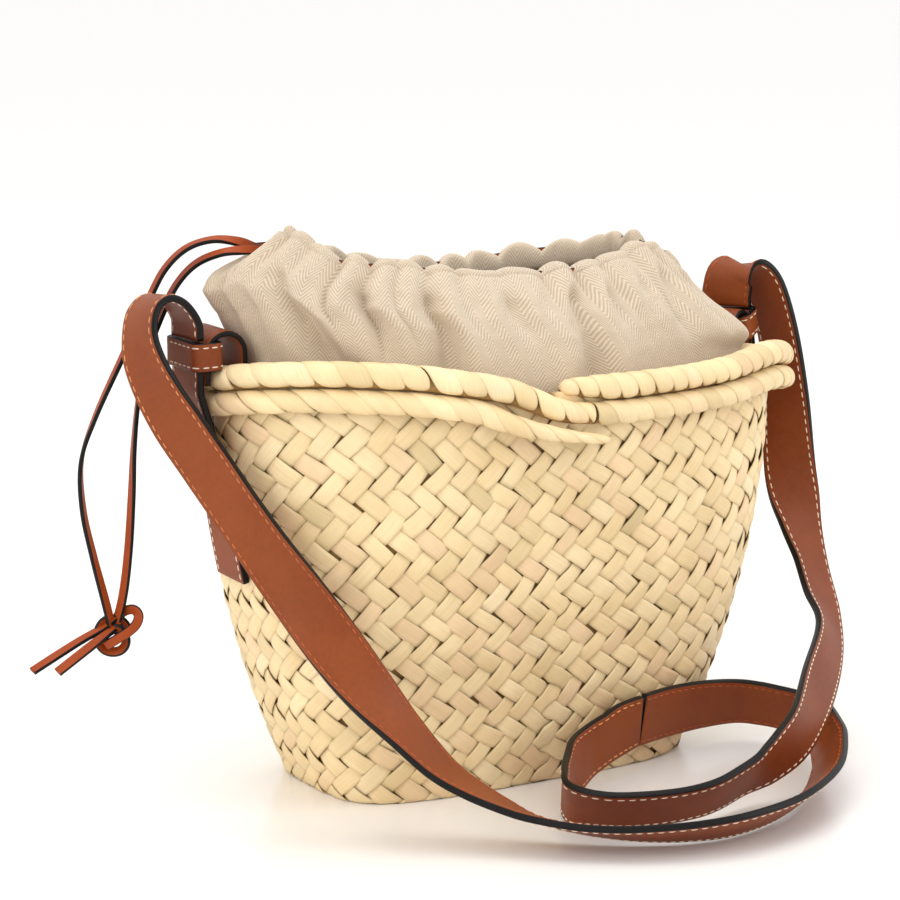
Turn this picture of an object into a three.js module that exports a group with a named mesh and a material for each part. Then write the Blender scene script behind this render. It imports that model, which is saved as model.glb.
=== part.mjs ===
// A small bucket bag of woven palm leaf, with a rope rim, a drawstring liner of herringbone cloth,
// two flat leather drawcords and a leather shoulder strap that lies in a loop on the floor.
// Millimetres, +Z up. The origin is the middle of the base, on the floor. X runs along the mouth, from
// the left strap end to the right one, and -Y is the front.

import * as THREE from 'three';

// ---- driving dimensions ----

const HEIGHT = 185; // nominal top of the rim rope
const BASE_HALF = { x: 87, y: 45.4 };
const RIM_HALF = { x: 138, y: 66 };
const BASE_SQUARENESS = 4;
const RIM_SQUARENESS = 1.93;
const FLARE = 0.77; // how early the wall opens out
const BASE_SHIFT = -6; // the base sits a little to the left of the rim
const WALL_THICKNESS = 4;
const BASE_THICKNESS = 4;
const GAP = 0.3; // between pieces that touch

const ROPE = { upperRadius: 5.4, lowerRadius: 4.6, upperInset: 3, lowerInset: 1.5, drop: 10.2 };
const WALL_TO_ROPE = 1.2;
const WALL_TOP = HEIGHT - 2 * ROPE.upperRadius - 2 * ROPE.lowerRadius - WALL_TO_ROPE;

// How far the hand-made rim rises and dips, in mm, every 20 degrees from the right end (+X).
const RIM_LIFT = [-6, -5, -4, -2, 0, 1, 2, 3, 4, 5, 7.5, 8.5, 5.5, -3, -5, -5, -2, -3];

const CLOTH = 1.2;
const NECK_THICKNESS = 2.4;
const HEM = { x: -12, halfX: 96, halfY: 26, top: 226.5, tilt: -10, saddle: 3 };
const HEM_SECTION = { half: 2.8, cloth: 1.2, depth: 11 };
const SLOT_ANGLE = 14; // degrees either side of each end of the mouth

const LACE = { width: 4.2, thickness: 1.8 };
const STRAP = { width: 20, thickness: 3 };
const TAB_THICKNESS = 2.2;
const KEEPER = { height: 12, band: 2, clear: 0.5, room: 3.6 };

const SIDES = 60; // points round the basket
const ROPE_SIDES = 10;
const ROPE_STEP = 5; // degrees between the rope's rings
const HEM_STEPS = 30;
const CASING_STEPS = 48;

const DEGREE = Math.PI / 180;
const LEATHER = { color: 0x9a5630, roughness: 0.5 };
const LEATHER_INSIDE = { color: 0x8a4a28, roughness: 0.6 };
const LEAF = { color: 0xe6d6a8, roughness: 0.55 };
const LINEN = { color: 0xcdbfa8, roughness: 0.9 };

// ---- small helpers ----

const mix = THREE.MathUtils.lerp;

function vector(x, y, z) {
  return new THREE.Vector3(x, y, z);
}

function range(count, make) {
  return Array.from({ length: count }, (_, i) => make(i));
}

// A value that repeats every turn, smooth through evenly spaced samples.
function periodic(samples, angle) {
  const count = samples.length;
  const place = ((((angle / 360) % 1) + 1) % 1) * count;
  const i = Math.floor(place);
  const f = place - i;
  const [p0, p1, p2, p3] = [-1, 0, 1, 2].map((step) => samples[(i + step + count) % count]);
  const slope = 0.5 * (p2 - p0);
  const bend = p0 - 2.5 * p1 + 2 * p2 - 0.5 * p3;
  const twist = 0.5 * (p3 - p0) + 1.5 * (p1 - p2);
  return p1 + f * (slope + f * (bend + f * twist));
}

function rimLift(angle) {
  return periodic(RIM_LIFT, angle);
}

function superellipse(halfX, halfY, squareness, angle) {
  const c = Math.cos(angle * DEGREE);
  const s = Math.sin(angle * DEGREE);
  const power = 2 / squareness;
  return [halfX * Math.sign(c) * Math.abs(c) ** power, halfY * Math.sign(s) * Math.abs(s) ** power];
}

function signedVolume(positions, faces) {
  let total = 0;
  for (const [a, b, c] of faces) {
    total += positions[a].dot(positions[b].clone().cross(positions[c]));
  }
  return total / 6;
}

// Closed surface through rings of points. A tube has a flat cap at each end, and a hoop joins its last
// ring to its first.
function loft(rings, { hoop = false, section = null } = {}) {
  const size = rings[0].length;
  const positions = rings.flat();
  const faces = [];
  const last = hoop ? rings.length : rings.length - 1;
  for (let r = 0; r < last; r += 1) {
    const next = (r + 1) % rings.length;
    for (let i = 0; i < size; i += 1) {
      const j = (i + 1) % size;
      const [a, b, c, d] = [r * size + i, r * size + j, next * size + j, next * size + i];
      faces.push([a, b, c], [a, c, d]);
    }
  }
  if (!hoop) {
    const outline = section ?? range(size, (i) => superellipse(1, 1, 2, (360 * i) / size));
    const points = outline.map(([x, y]) => new THREE.Vector2(x, y));
    const cap = THREE.ShapeUtils.triangulateShape(points, []);
    const firstTriangle = cap[0].map((i) => points[i]);
    const sameWay = THREE.ShapeUtils.area(points) * THREE.ShapeUtils.area(firstTriangle) > 0;
    const end = (rings.length - 1) * size;
    for (const triangle of cap) {
      const [a, b, c] = sameWay ? triangle : [triangle[0], triangle[2], triangle[1]];
      faces.push([a, c, b], [end + a, end + b, end + c]);
    }
  }
  return solid(positions, faces);
}

function solid(positions, faces) {
  const outwards = signedVolume(positions, faces) > 0;
  const geometry = new THREE.BufferGeometry();
  const coordinates = positions.flatMap((p) => [p.x, p.y, p.z]);
  geometry.setAttribute('position', new THREE.Float32BufferAttribute(coordinates, 3));
  geometry.setIndex(faces.flatMap(([a, b, c]) => (outwards ? [a, b, c] : [a, c, b])));
  geometry.computeVertexNormals();
  return geometry;
}

// A strip of one section along stations [x, y, z, across x, across y, across z].
function strip(stations, section) {
  const rings = stations.map((station, i) => {
    const before = stations[Math.max(i - 1, 0)];
    const after = stations[Math.min(i + 1, stations.length - 1)];
    const along = vector(after[0] - before[0], after[1] - before[1], after[2] - before[2]).normalize();
    const across = vector(...station.slice(3));
    across.addScaledVector(along, -across.dot(along)).normalize();
    const face = along.clone().cross(across);
    const place = vector(...station.slice(0, 3));
    return section.map(([u, v]) => place.clone().addScaledVector(across, u).addScaledVector(face, v));
  });
  return loft(rings, { section });
}

function rectangle(width, thickness) {
  const [u, v] = [width / 2, thickness / 2];
  return [[-u, -v], [u, -v], [u, v], [-u, v]];
}

// Smooth stations between hand-placed ones, `steps` to each stretch.
function refine(stations, steps) {
  const places = new THREE.CatmullRomCurve3(stations.map((s) => vector(s[0], s[1], s[2])));
  const directions = new THREE.CatmullRomCurve3(stations.map((s) => vector(s[3], s[4], s[5])));
  const count = (stations.length - 1) * steps;
  return range(count + 1, (i) => {
    const place = places.getPoint(i / count);
    const across = directions.getPoint(i / count);
    return [...place.toArray(), ...across.toArray()];
  });
}

const bag = new THREE.Group();

function add(name, geometry, { color, roughness }) {
  const material = new THREE.MeshStandardMaterial({ color, roughness, metalness: 0 });
  const mesh = new THREE.Mesh(geometry, material);
  mesh.name = name;
  bag.add(mesh);
}

// ---- basket ----

// A point of the wall, from 0 at the floor to 1 at the wall's top edge.
function wallPoint(level, angle, inset) {
  const k = (level * WALL_TOP) / HEIGHT;
  const spread = k + FLARE * k * (1 - k);
  const halfX = mix(BASE_HALF.x, RIM_HALF.x, spread) - inset;
  const halfY = mix(BASE_HALF.y, RIM_HALF.y, spread) - inset;
  const [x, y] = superellipse(halfX, halfY, mix(BASE_SQUARENESS, RIM_SQUARENESS, k), angle);
  return vector(x + BASE_SHIFT * (1 - k), y, level * (WALL_TOP + rimLift(angle)));
}

function wallRing(level, inset, raise = 0) {
  return range(SIDES, (i) => wallPoint(level, (360 * i) / SIDES, inset).add(vector(0, 0, raise)));
}

const WALL_LEVELS = [0, 0.12, 0.25, 0.4, 0.55, 0.7, 0.85, 1];

function basketWall() {
  const outside = WALL_LEVELS.map((level) => wallRing(level, 0));
  const inside = WALL_LEVELS.map((level) => wallRing(level, WALL_THICKNESS)).reverse();
  return loft([...outside, ...inside], { hoop: true });
}

function basketBase() {
  const edge = WALL_THICKNESS + 2 * GAP;
  return loft([wallRing(0, edge), wallRing(0, edge, BASE_THICKNESS)]);
}

// One turn of rim rope. Each station is [angle, inset, height below the rim's top, radius].
function rope(stations) {
  const centres = stations.map(([angle, inset, below]) => {
    const [x, y] = superellipse(RIM_HALF.x - inset, RIM_HALF.y - inset, RIM_SQUARENESS, angle);
    return vector(x, y, HEIGHT + rimLift(angle) - below);
  });
  const rings = centres.map((centre, i) => {
    const before = centres[Math.max(i - 1, 0)];
    const after = centres[Math.min(i + 1, centres.length - 1)];
    const along = after.clone().sub(before).normalize();
    const side = along.clone().cross(vector(0, 0, 1)).normalize();
    const up = side.clone().cross(along);
    return range(ROPE_SIDES, (j) => {
      const [u, v] = superellipse(stations[i][3], stations[i][3], 2, (360 * j) / ROPE_SIDES);
      return centre.clone().addScaledVector(side, u).addScaledVector(up, v);
    });
  });
  return loft(rings);
}

// The rope starts behind the kink at the front, runs once round on top, dives under its own start and
// runs round again below, where it thins out on the wall.
const KINK = { start: 277, full: 285, dive: 265, under: 281, flatten: 262, end: 284 };
const TAPER = [[0.1, -0.6], [0.25, -3.2], [0.5, -3.6], [0.75, -2.6], [1, -1.4]]; // part done, inset
const TAPER_DROP = 11;
const TAPER_RADIUS = 1.2;

function upperTurn() {
  const stations = [
    [KINK.start, 6.5, 4.4, 3],
    [mix(KINK.start, KINK.full, 0.5), 5, 5, 4.4],
  ];
  for (let angle = KINK.full; angle <= KINK.dive + 360; angle += ROPE_STEP) {
    stations.push([angle, ROPE.upperInset, ROPE.upperRadius, ROPE.upperRadius]);
  }
  for (const part of [0.25, 0.5, 0.75, 1]) {
    const eased = part * part * (3 - 2 * part);
    const angle = mix(KINK.dive, KINK.under, part) + 360;
    const inset = mix(ROPE.upperInset, ROPE.lowerInset, eased);
    const radius = mix(ROPE.upperRadius, ROPE.lowerRadius, eased);
    stations.push([angle, inset, ROPE.upperRadius + ROPE.drop * eased, radius]);
  }
  return rope(stations);
}

function lowerTurn() {
  const below = ROPE.upperRadius + ROPE.drop;
  const stations = [];
  const clearOfUpper = 0.4;
  const first = KINK.under + clearOfUpper;
  const last = KINK.flatten + 360;
  const count = Math.round((last - first) / ROPE_STEP);
  for (let i = 0; i <= count; i += 1) {
    const angle = mix(first, last, i / count);
    stations.push([angle, ROPE.lowerInset, below, ROPE.lowerRadius]);
  }
  for (const [part, inset] of TAPER) {
    const angle = mix(KINK.flatten, KINK.end, part) + 360;
    const radius = mix(ROPE.lowerRadius, TAPER_RADIUS, part);
    stations.push([angle, inset, below + TAPER_DROP * part, radius]);
  }
  return rope(stations);
}

add('basket_base', basketBase(), LEAF);
add('basket_wall', basketWall(), LEAF);
add('rim_rope_upper_turn', upperTurn(), LEAF);
add('rim_rope_lower_turn', lowerTurn(), LEAF);

// ---- drawstring liner ----

const LINER_FLOOR = BASE_THICKNESS + GAP;
const LINER_LEVELS = [0.06, 0.2, 0.4, 0.6, 0.8, 0.98];
const LINER_FLOOR_INSET = WALL_THICKNESS + GAP + 1;

// The cloth bag is a cup that lines the wall, with a floor of its own on the basket's base.
function linerBag() {
  const outset = WALL_THICKNESS + GAP;
  const outside = LINER_LEVELS.map((level) => wallRing(level, outset));
  const inside = LINER_LEVELS.map((level) => wallRing(level, outset + CLOTH));
  const floor = wallRing(0, LINER_FLOOR_INSET, LINER_FLOOR);
  const floorInside = wallRing(0, LINER_FLOOR_INSET + CLOTH, LINER_FLOOR + CLOTH);
  return loft([floor, ...outside, ...inside.reverse(), floorInside]);
}

// The neck, level by level: where it is (0 at the rim, 1 at the hem), its left and right ends, its half
// depth.
const NECK_LEVELS = [
  [0, -129, 129, 58],
  [0.13, -121.5, 117, 56],
  [0.3, -121, 112.5, 54],
  [0.45, -121, 109, 52],
  [0.6, -122, 104, 49],
  [0.74, -127, 100, 44],
  [0.86, -122, 94, 37],
  [1, -108, 84, 26],
];
const NECK_BOTTOM = WALL_TOP + GAP;

function hemTop(angle) {
  const turn = angle * DEGREE;
  return HEM.top + HEM.tilt * Math.cos(turn) + HEM.saddle * Math.cos(2 * turn);
}

function hemPoint(angle, out, below) {
  const [x, y] = superellipse(HEM.halfX + out, HEM.halfY + out, 2, angle);
  return vector(x + HEM.x, y, hemTop(angle) - below);
}

function neckRing([level, left, right, depth], side) {
  const half = (right - left) / 2 + (side * NECK_THICKNESS) / 2;
  return range(SIDES, (i) => {
    const angle = (360 * i) / SIDES;
    const [x, y] = superellipse(half, depth + (side * NECK_THICKNESS) / 2, RIM_SQUARENESS, angle);
    const bottom = NECK_BOTTOM + rimLift(angle);
    const top = hemTop(angle) - HEM_SECTION.depth - GAP;
    return vector(x + (left + right) / 2, y, mix(bottom, top, level));
  });
}

function linerNeck() {
  const outside = NECK_LEVELS.map((level) => neckRing(level, 1));
  const inside = NECK_LEVELS.map((level) => neckRing(level, -1)).reverse();
  return loft([...outside, ...inside], { hoop: true });
}

// The hem is folded over into a casing, open below at its seam and at the slot at each end.
function hemHalf(from, to) {
  const { half, cloth, depth } = HEM_SECTION;
  const inner = half - cloth;
  const section = [
    [-half, depth], [-half, 0], [half, 0], [half, depth],
    [inner, depth], [inner, cloth], [-inner, cloth], [-inner, depth],
  ];
  const rings = range(HEM_STEPS + 1, (i) => {
    const angle = mix(from, to, i / HEM_STEPS);
    return section.map(([out, below]) => hemPoint(angle, out, below));
  });
  return loft(rings, { section });
}

add('liner_bag', linerBag(), LINEN);
add('liner_neck', linerNeck(), LINEN);
add('neck_hem_front', hemHalf(180 + SLOT_ANGLE, 360 - SLOT_ANGLE), LINEN);
add('neck_hem_back', hemHalf(SLOT_ANGLE, 180 - SLOT_ANGLE), LINEN);

// ---- drawcords ----

const LACE_SECTION = rectangle(LACE.width, LACE.thickness);
const CASING_GAP = 13.5; // degrees either side of its own slot where a lace leaves the casing
const TURN_OUT = [[7.5, 3], [4, 3], [1.2, 3.3], [-1, 4.4]]; // [out of the slot, off its middle]

// A lace runs all round inside the casing and leaves by the slot at its own end, both ends together.
function laceInHem(endAngle, below) {
  const outwards = Math.cos(endAngle * DEGREE);
  const tip = hemPoint(endAngle, 0, below);
  const wayOut = (side) => TURN_OUT.map(([out, y]) => [tip.x + out * outwards, side * y, tip.z, 0, 0, 1]);
  const ring = range(CASING_STEPS + 1, (i) => {
    const angle = endAngle + mix(CASING_GAP, 360 - CASING_GAP, i / CASING_STEPS);
    return [...hemPoint(angle, 0, below).toArray(), 0, 0, 1];
  });
  const firstSide = Math.sign(ring[0][1]);
  return strip([...wayOut(firstSide), ...ring, ...wayOut(-firstSide).reverse()], LACE_SECTION);
}

const LEFT_LACE_BELOW = 3.6;
const RIGHT_LACE_BELOW = 8.2;
const LACE_STEPS = 3;

// Hand-placed routes: [x, y, z, across x, across y, across z].
const LEFT_BACK_STRAND = [
  [-116.6, 3, 235.9, 0, 0, 1],
  [-123, 5.5, 238.6, 0.1, 0.5, 0.8],
  [-133, 9, 239.8, 0.1, 0.9, 0.3],
  [-143.5, 12.5, 236.6, 0, 1, 0.1],
  [-152, 15.5, 228.4, 0, 1, 0],
  [-159, 17, 216, 0, 1, 0],
  [-171, 17, 194, 0.1, 1, 0],
  [-184.5, 17, 169, 0.3, 0.9, 0.1],
  [-191.5, 16.5, 151, 0.5, 0.8, 0],
  [-191.7, 15.5, 131, 0.7, 0.7, 0],
  [-188, 14.5, 111, 0.8, 0.6, 0.1],
  [-183.6, 13.8, 92.5, 0.9, 0.4, 0.2],
];
const LEFT_FRONT_STRAND = [
  [-116.6, -3, 235.9, 0, 0, 1],
  [-123, -1, 236, 0.1, 0.5, 0.8],
  [-132.5, 3.5, 234.8, 0.1, 0.9, 0.3],
  [-141.5, 9, 230.6, 0, 1, 0.1],
  [-149, 12, 222.5, 0, 1, 0],
  [-155.5, 12.5, 211, 0, 1, 0],
  [-163, 12.5, 194, 0.1, 1, 0],
  [-167.3, 12.5, 175, 0.3, 0.9, 0],
  [-169.7, 12, 155, 0.2, 1, 0],
  [-171, 12, 135, -0.1, 1, 0],
  [-173, 12, 112, -0.3, 0.9, 0],
  [-175.8, 12.4, 92.5, -0.4, 0.9, 0],
];
const RIGHT_FRONT_STRAND = [
  [92.6, -3, 211.3, 0, 0, 1],
  [97, 1, 210.4, 0, 0.5, 0.8],
  [102.5, 8, 207.2, -0.4, 0.8, 0.3],
  [107, 16.5, 202.4, -0.7, 0.7, 0.1],
  [110, 26, 197, -0.8, 0.6, 0],
  [112.5, 36, 192.5, -0.8, 0.6, 0],
  [114.5, 45, 187, -0.8, 0.6, 0],
  [116, 51.5, 177, -0.9, 0.4, 0],
  [116.5, 54.5, 163, -1, 0.2, 0],
  [116, 56, 146, -1, 0.2, 0],
  [114.5, 57, 128, -1, 0.1, 0],
  [111, 57.6, 110.5, -1, 0.1, -0.2],
];
const RIGHT_BACK_STRAND = [
  [92.6, 3, 211.3, 0, 0, 1],
  [96, 7, 212.2, 0, 0.5, 0.8],
  [99.5, 13.5, 211.2, -0.4, 0.8, 0.3],
  [102, 21.5, 207.2, -0.7, 0.7, 0.1],
  [103.5, 31, 201.6, -0.8, 0.6, 0],
  [104.5, 41, 196.5, -0.8, 0.6, 0],
  [105, 50, 190, -0.8, 0.6, 0],
  [104.6, 56.5, 179.5, -0.9, 0.4, 0],
  [103.6, 59.5, 165, -1, 0.2, 0],
  [102.4, 60.5, 147, -1, 0.1, 0],
  [102, 60.5, 128, -1, 0, 0.1],
  [103.6, 59.4, 110.5, -1, 0, 0.3],
];

const KNOT = { halfX: 9.2, halfY: 7, halfZ: 9.2, columns: 14, rows: 9 };
const TAIL_ACROSS = [0.2, 0.9, 0.3];
const LEFT_KNOT = [-179.8, 13, 81.5];
const RIGHT_KNOT = [107.2, 58.8, 99.5];

function knot([x, y, z]) {
  const geometry = new THREE.SphereGeometry(1, KNOT.columns, KNOT.rows);
  geometry.scale(KNOT.halfX, KNOT.halfY, KNOT.halfZ);
  geometry.translate(x, y, z);
  return geometry;
}

// A tail leaves the knot at `from` and ends at `to`, both measured from the knot's centre.
function tail(centre, from, to) {
  const station = (f) => [0, 1, 2].map((i) => centre[i] + mix(from[i], to[i], f));
  return strip([0, 0.5, 1].map((f) => [...station(f), ...TAIL_ACROSS]), LACE_SECTION);
}

function drawcord(side, endAngle, below, strands, centre, tails) {
  add(`${side}_lace_in_hem`, laceInHem(endAngle, below), LEATHER);
  for (const [place, stations] of Object.entries(strands)) {
    add(`${side}_lace_${place}_strand`, strip(refine(stations, LACE_STEPS), LACE_SECTION), LEATHER);
  }
  add(`${side}_lace_knot`, knot(centre), LEATHER);
  for (const [length, [from, to]] of Object.entries(tails)) {
    add(`${side}_lace_${length}_tail`, tail(centre, from, to), LEATHER);
  }
}

const leftStrands = { front: LEFT_FRONT_STRAND, back: LEFT_BACK_STRAND };
const rightStrands = { front: RIGHT_FRONT_STRAND, back: RIGHT_BACK_STRAND };
const leftTails = {
  long: [[-8.6, 3.4, -4], [-36, 3.6, -16.5]],
  short: [[-7.9, -2, -5.6], [-27, -1.6, -17]],
};
const rightTails = {
  long: [[2.2, 0, -9.6], [6, -1, -38]],
  short: [[-2.8, 0, -9.4], [-7, 0, -30]],
};
drawcord('left', 180, LEFT_LACE_BELOW, leftStrands, LEFT_KNOT, leftTails);
drawcord('right', 0, RIGHT_LACE_BELOW, rightStrands, RIGHT_KNOT, rightTails);

// ---- strap fittings ----

// Each end of the strap is sewn to the wall, rises outside the rim and is held by a keeper to a tab
// that passes over the rim. `lean` tips the part above the rim inwards, about the upper rope.
const LEFT_END = { angle: 181.4, lean: 0 };
const RIGHT_END = { angle: 8.8, lean: 32 };
const LEAN_FROM = -12; // heights over which the lean sets in
const LEAN_TO = 6;
const LEG_OUT = 12; // from the upper rope's centre to the leg's middle
const LEG_BOTTOM = 97;
const LEG_ON_WALL = [0, 14, 28, 38]; // heights above the leg's bottom
const LEG_BULGE = 0.8; // room for the wall's flats between its levels
const KEEPER_BOTTOM = 6.2; // above the upper rope's centre

// The upper rope's centre at a strap end, with the directions out of the bag and along the rim.
function endFrame(end) {
  const halfX = RIM_HALF.x - ROPE.upperInset;
  const halfY = RIM_HALF.y - ROPE.upperInset;
  const [x, y] = superellipse(halfX, halfY, RIM_SQUARENESS, end.angle);
  const out = vector(x / halfX ** 2, y / halfY ** 2, 0).normalize();
  const across = vector(0, 0, 1).cross(out).multiplyScalar(Math.sign(out.x));
  return { centre: vector(x, y, HEIGHT + rimLift(end.angle) - ROPE.upperRadius), out, across };
}

// From (out, height), measured from the upper rope's centre, to the bag's frame.
function leaned(end, out, height) {
  const frame = endFrame(end);
  const turn = end.lean * DEGREE * THREE.MathUtils.smoothstep(height, LEAN_FROM, LEAN_TO);
  const outward = out * Math.cos(turn) - height * Math.sin(turn);
  const up = height * Math.cos(turn) + out * Math.sin(turn);
  return frame.centre.clone().addScaledVector(frame.out, outward).add(vector(0, 0, up));
}

function endStations(end, places) {
  const { across } = endFrame(end);
  return places.map((place) => [...place.toArray(), ...across.toArray()]);
}

function legStations(end) {
  const clearance = STRAP.thickness / 2 + GAP + LEG_BULGE;
  const onWall = LEG_ON_WALL.map((rise) => {
    const z = LEG_BOTTOM + rise;
    return wallPoint(z / (WALL_TOP + rimLift(end.angle)), end.angle, -clearance);
  });
  const top = KEEPER_BOTTOM + KEEPER.height - GAP;
  const offWall = [[LEG_OUT - 2, -10], [LEG_OUT, -3], [LEG_OUT, 3], [LEG_OUT, 9], [LEG_OUT, top]];
  return endStations(end, [...onWall, ...offWall.map(([out, height]) => leaned(end, out, height))]);
}

const TAB = { outer: LEG_OUT - 3.4, inner: -ROPE.upperRadius - 4, archFoot: 12.5, archSteps: 8 };

function tabStations(end) {
  const middle = (TAB.outer + TAB.inner) / 2;
  const radius = (TAB.outer - TAB.inner) / 2;
  const arch = range(TAB.archSteps + 1, (i) => {
    const turn = (i / TAB.archSteps) * Math.PI;
    return [middle + radius * Math.cos(turn), TAB.archFoot + radius * Math.sin(turn)];
  });
  const outerLeg = [[TAB.outer, 0], [TAB.outer, TAB.archFoot / 2]];
  const innerLeg = [[TAB.inner, TAB.archFoot / 2], [TAB.inner, 0], [TAB.inner, -5]];
  const route = [...outerLeg, ...arch, ...innerLeg];
  return endStations(end, route.map(([out, height]) => leaned(end, out, height)));
}

// The keeper is a closed band round the strap's leg and the tab.
function keeper(end) {
  const outer = LEG_OUT + STRAP.thickness / 2 + KEEPER.clear;
  const inner = TAB.outer - TAB_THICKNESS / 2 - KEEPER.room;
  const halfWidth = STRAP.width / 2 + KEEPER.clear;
  const { across } = endFrame(end);
  const corners = (grow, height) => [
    [outer + grow, -halfWidth - grow], [outer + grow, halfWidth + grow],
    [inner - grow, halfWidth + grow], [inner - grow, -halfWidth - grow],
  ].map(([out, side]) => leaned(end, out, height).addScaledVector(across, side));
  const [low, high] = [KEEPER_BOTTOM, KEEPER_BOTTOM + KEEPER.height];
  const rings = [corners(KEEPER.band, low), corners(KEEPER.band, high), corners(0, high), corners(0, low)];
  return loft(rings, { hoop: true });
}

const STRAP_SECTION = rectangle(STRAP.width, STRAP.thickness);
const TAB_SECTION = rectangle(STRAP.width, TAB_THICKNESS);

for (const [name, end] of Object.entries({ left: LEFT_END, right: RIGHT_END })) {
  add(`strap_leg_${name}`, strip(legStations(end), STRAP_SECTION), LEATHER);
  add(`rim_tab_${name}`, strip(tabStations(end), TAB_SECTION), LEATHER_INSIDE);
  add(`keeper_${name}`, keeper(end), LEATHER);
}

// ---- shoulder strap ----

// Hand-placed route from the left keeper to the right one: [x, y, z, across x, across y, across z].
const STRAP_LEFT_ROUTE = [
  [-147.2, -1.5, 204.2, -0.05, 1, 0],
  [-148.6, -1.6, 212.5, -0.05, 1, 0],
  [-154.5, -1.8, 220, -0.05, 1, -0.1],
  [-164, -2, 222.6, -0.1, 0.97, -0.15],
  [-172, -2.2, 216.5, -0.16, 0.95, -0.2],
  [-175, -3, 205, -0.33, 0.93, -0.15],
  [-170, -6.5, 186, -0.5, 0.8, -0.35],
  [-158.5, -12.5, 163, -0.5, 0.75, -0.45],
  [-149, -20, 140, -0.42, 0.77, -0.48],
  [-141, -29, 117, -0.38, 0.79, -0.49],
  [-133, -39, 96, -0.36, 0.77, -0.54],
  [-124, -50, 76, -0.3, 0.75, -0.59],
  [-115, -60, 59, -0.19, 0.79, -0.58],
  [-106, -71, 43.5, -0.05, 0.81, -0.58],
  [-97, -81.5, 32, 0.06, 0.82, -0.56],
  [-85.5, -93.5, 22.5, 0.18, 0.84, -0.5],
  [-69, -109.5, 14, 0.32, 0.87, -0.4],
  [-51, -128, 9.6, 0.45, 0.76, -0.46],
  [-31, -144.5, 8.2, 0.4, 0.75, -0.55],
  [-6, -156, 8.2, 0.2, 0.75, -0.62],
  [20, -158, 8.6, 0, 0.72, -0.68],
  [50, -150.5, 9.2, -0.2, 0.62, -0.75],
  [80, -133.5, 10.2, -0.3, 0.42, -0.84],
  [105, -110, 11.4, -0.32, 0.22, -0.92],
  [120, -86, 12.6, -0.25, 0.08, -0.96],
  [124.5, -64, 13.6, -0.1, 0, -0.98],
  [117.5, -48, 16, 0, -0.06, -0.99],
  [101, -43.5, 19.4, 0.02, -0.1, -0.99],
  [80, -49, 22.6, 0.02, -0.1, -0.99],
  [56, -57.5, 24.6, 0.03, -0.06, -0.99],
  [35, -64.5, 24.2, 0.06, -0.02, -0.99],
];
const STRAP_RIGHT_ROUTE = [
  [33.8, -65, 24.1, 0.06, -0.02, -0.99],
  [15, -70, 21.6, 0.1, 0, -0.99],
  [-1, -75.5, 18, 0.16, 0, -0.98],
  [-14.5, -84, 15, 0.22, 0, -0.97],
  [-24.5, -96, 12.8, 0.25, 0.04, -0.96],
  [-27, -109, 11.4, 0.2, 0.12, -0.97],
  [-20, -120.5, 10.8, 0.12, 0.18, -0.97],
  [-5, -126, 10.7, 0.04, 0.1, -0.99],
  [17, -126, 10.8, 0, 0, -1],
  [43, -121, 12, 0, -0.2, -0.97],
  [69, -113, 16, 0, -0.5, -0.85],
  [94, -100, 24, 0.03, -0.75, -0.65],
  [117, -82, 34.5, 0.05, -0.9, -0.35],
  [137.5, -61, 47, 0.06, -0.98, -0.05],
  [153, -38, 58, 0.14, -0.98, 0.1],
  [157, -24, 74, 0.22, -0.96, 0.16],
  [158.5, -12.5, 91, 0.25, -0.95, 0.18],
  [159.2, -5, 107, 0.28, -0.95, 0.15],
  [160, -1, 123, 0.29, -0.95, 0.13],
  [160.5, 1.5, 146, 0.3, -0.94, 0.1],
  [160, 3.5, 169, 0.3, -0.95, 0.02],
  [157, 5, 187, 0.35, -0.93, 0],
  [151.5, 6.5, 200, 0.35, -0.93, 0.02],
  [144, 7.6, 208, 0.3, -0.95, 0.02],
  [135, 8.4, 209.6, 0.25, -0.97, 0],
  [128.5, 8.8, 205, 0.15, -0.99, 0],
  [128.4, 9, 198.6, 0.05, -1, 0],
];

const STRAP_STEPS = 2;
add('strap_left_length', strip(refine(STRAP_LEFT_ROUTE, STRAP_STEPS), STRAP_SECTION), LEATHER);
add('strap_right_length', strip(refine(STRAP_RIGHT_ROUTE, STRAP_STEPS), STRAP_SECTION), LEATHER);

export default bag;
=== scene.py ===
"""Bucket bag of woven palm leaf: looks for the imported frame. Lengths in the tables are millimetres."""

import math

import bpy
import numpy as np
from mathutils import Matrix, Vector


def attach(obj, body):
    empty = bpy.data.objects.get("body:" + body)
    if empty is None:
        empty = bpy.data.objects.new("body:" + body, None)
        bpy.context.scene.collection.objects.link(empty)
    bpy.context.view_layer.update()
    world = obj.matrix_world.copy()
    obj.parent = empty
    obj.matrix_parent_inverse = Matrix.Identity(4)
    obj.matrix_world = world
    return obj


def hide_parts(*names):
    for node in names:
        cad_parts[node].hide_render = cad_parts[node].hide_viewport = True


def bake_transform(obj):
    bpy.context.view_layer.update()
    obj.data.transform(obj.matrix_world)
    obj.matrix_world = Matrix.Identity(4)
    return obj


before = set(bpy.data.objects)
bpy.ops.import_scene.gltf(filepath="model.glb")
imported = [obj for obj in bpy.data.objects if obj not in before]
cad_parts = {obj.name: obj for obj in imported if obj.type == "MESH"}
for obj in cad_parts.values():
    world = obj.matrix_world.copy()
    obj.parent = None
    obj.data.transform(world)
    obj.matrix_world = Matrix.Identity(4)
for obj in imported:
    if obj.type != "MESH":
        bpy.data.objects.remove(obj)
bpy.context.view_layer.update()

MM = 0.001
rng = np.random.default_rng(7)

# ---------------------------------------------------------------- camera

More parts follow.
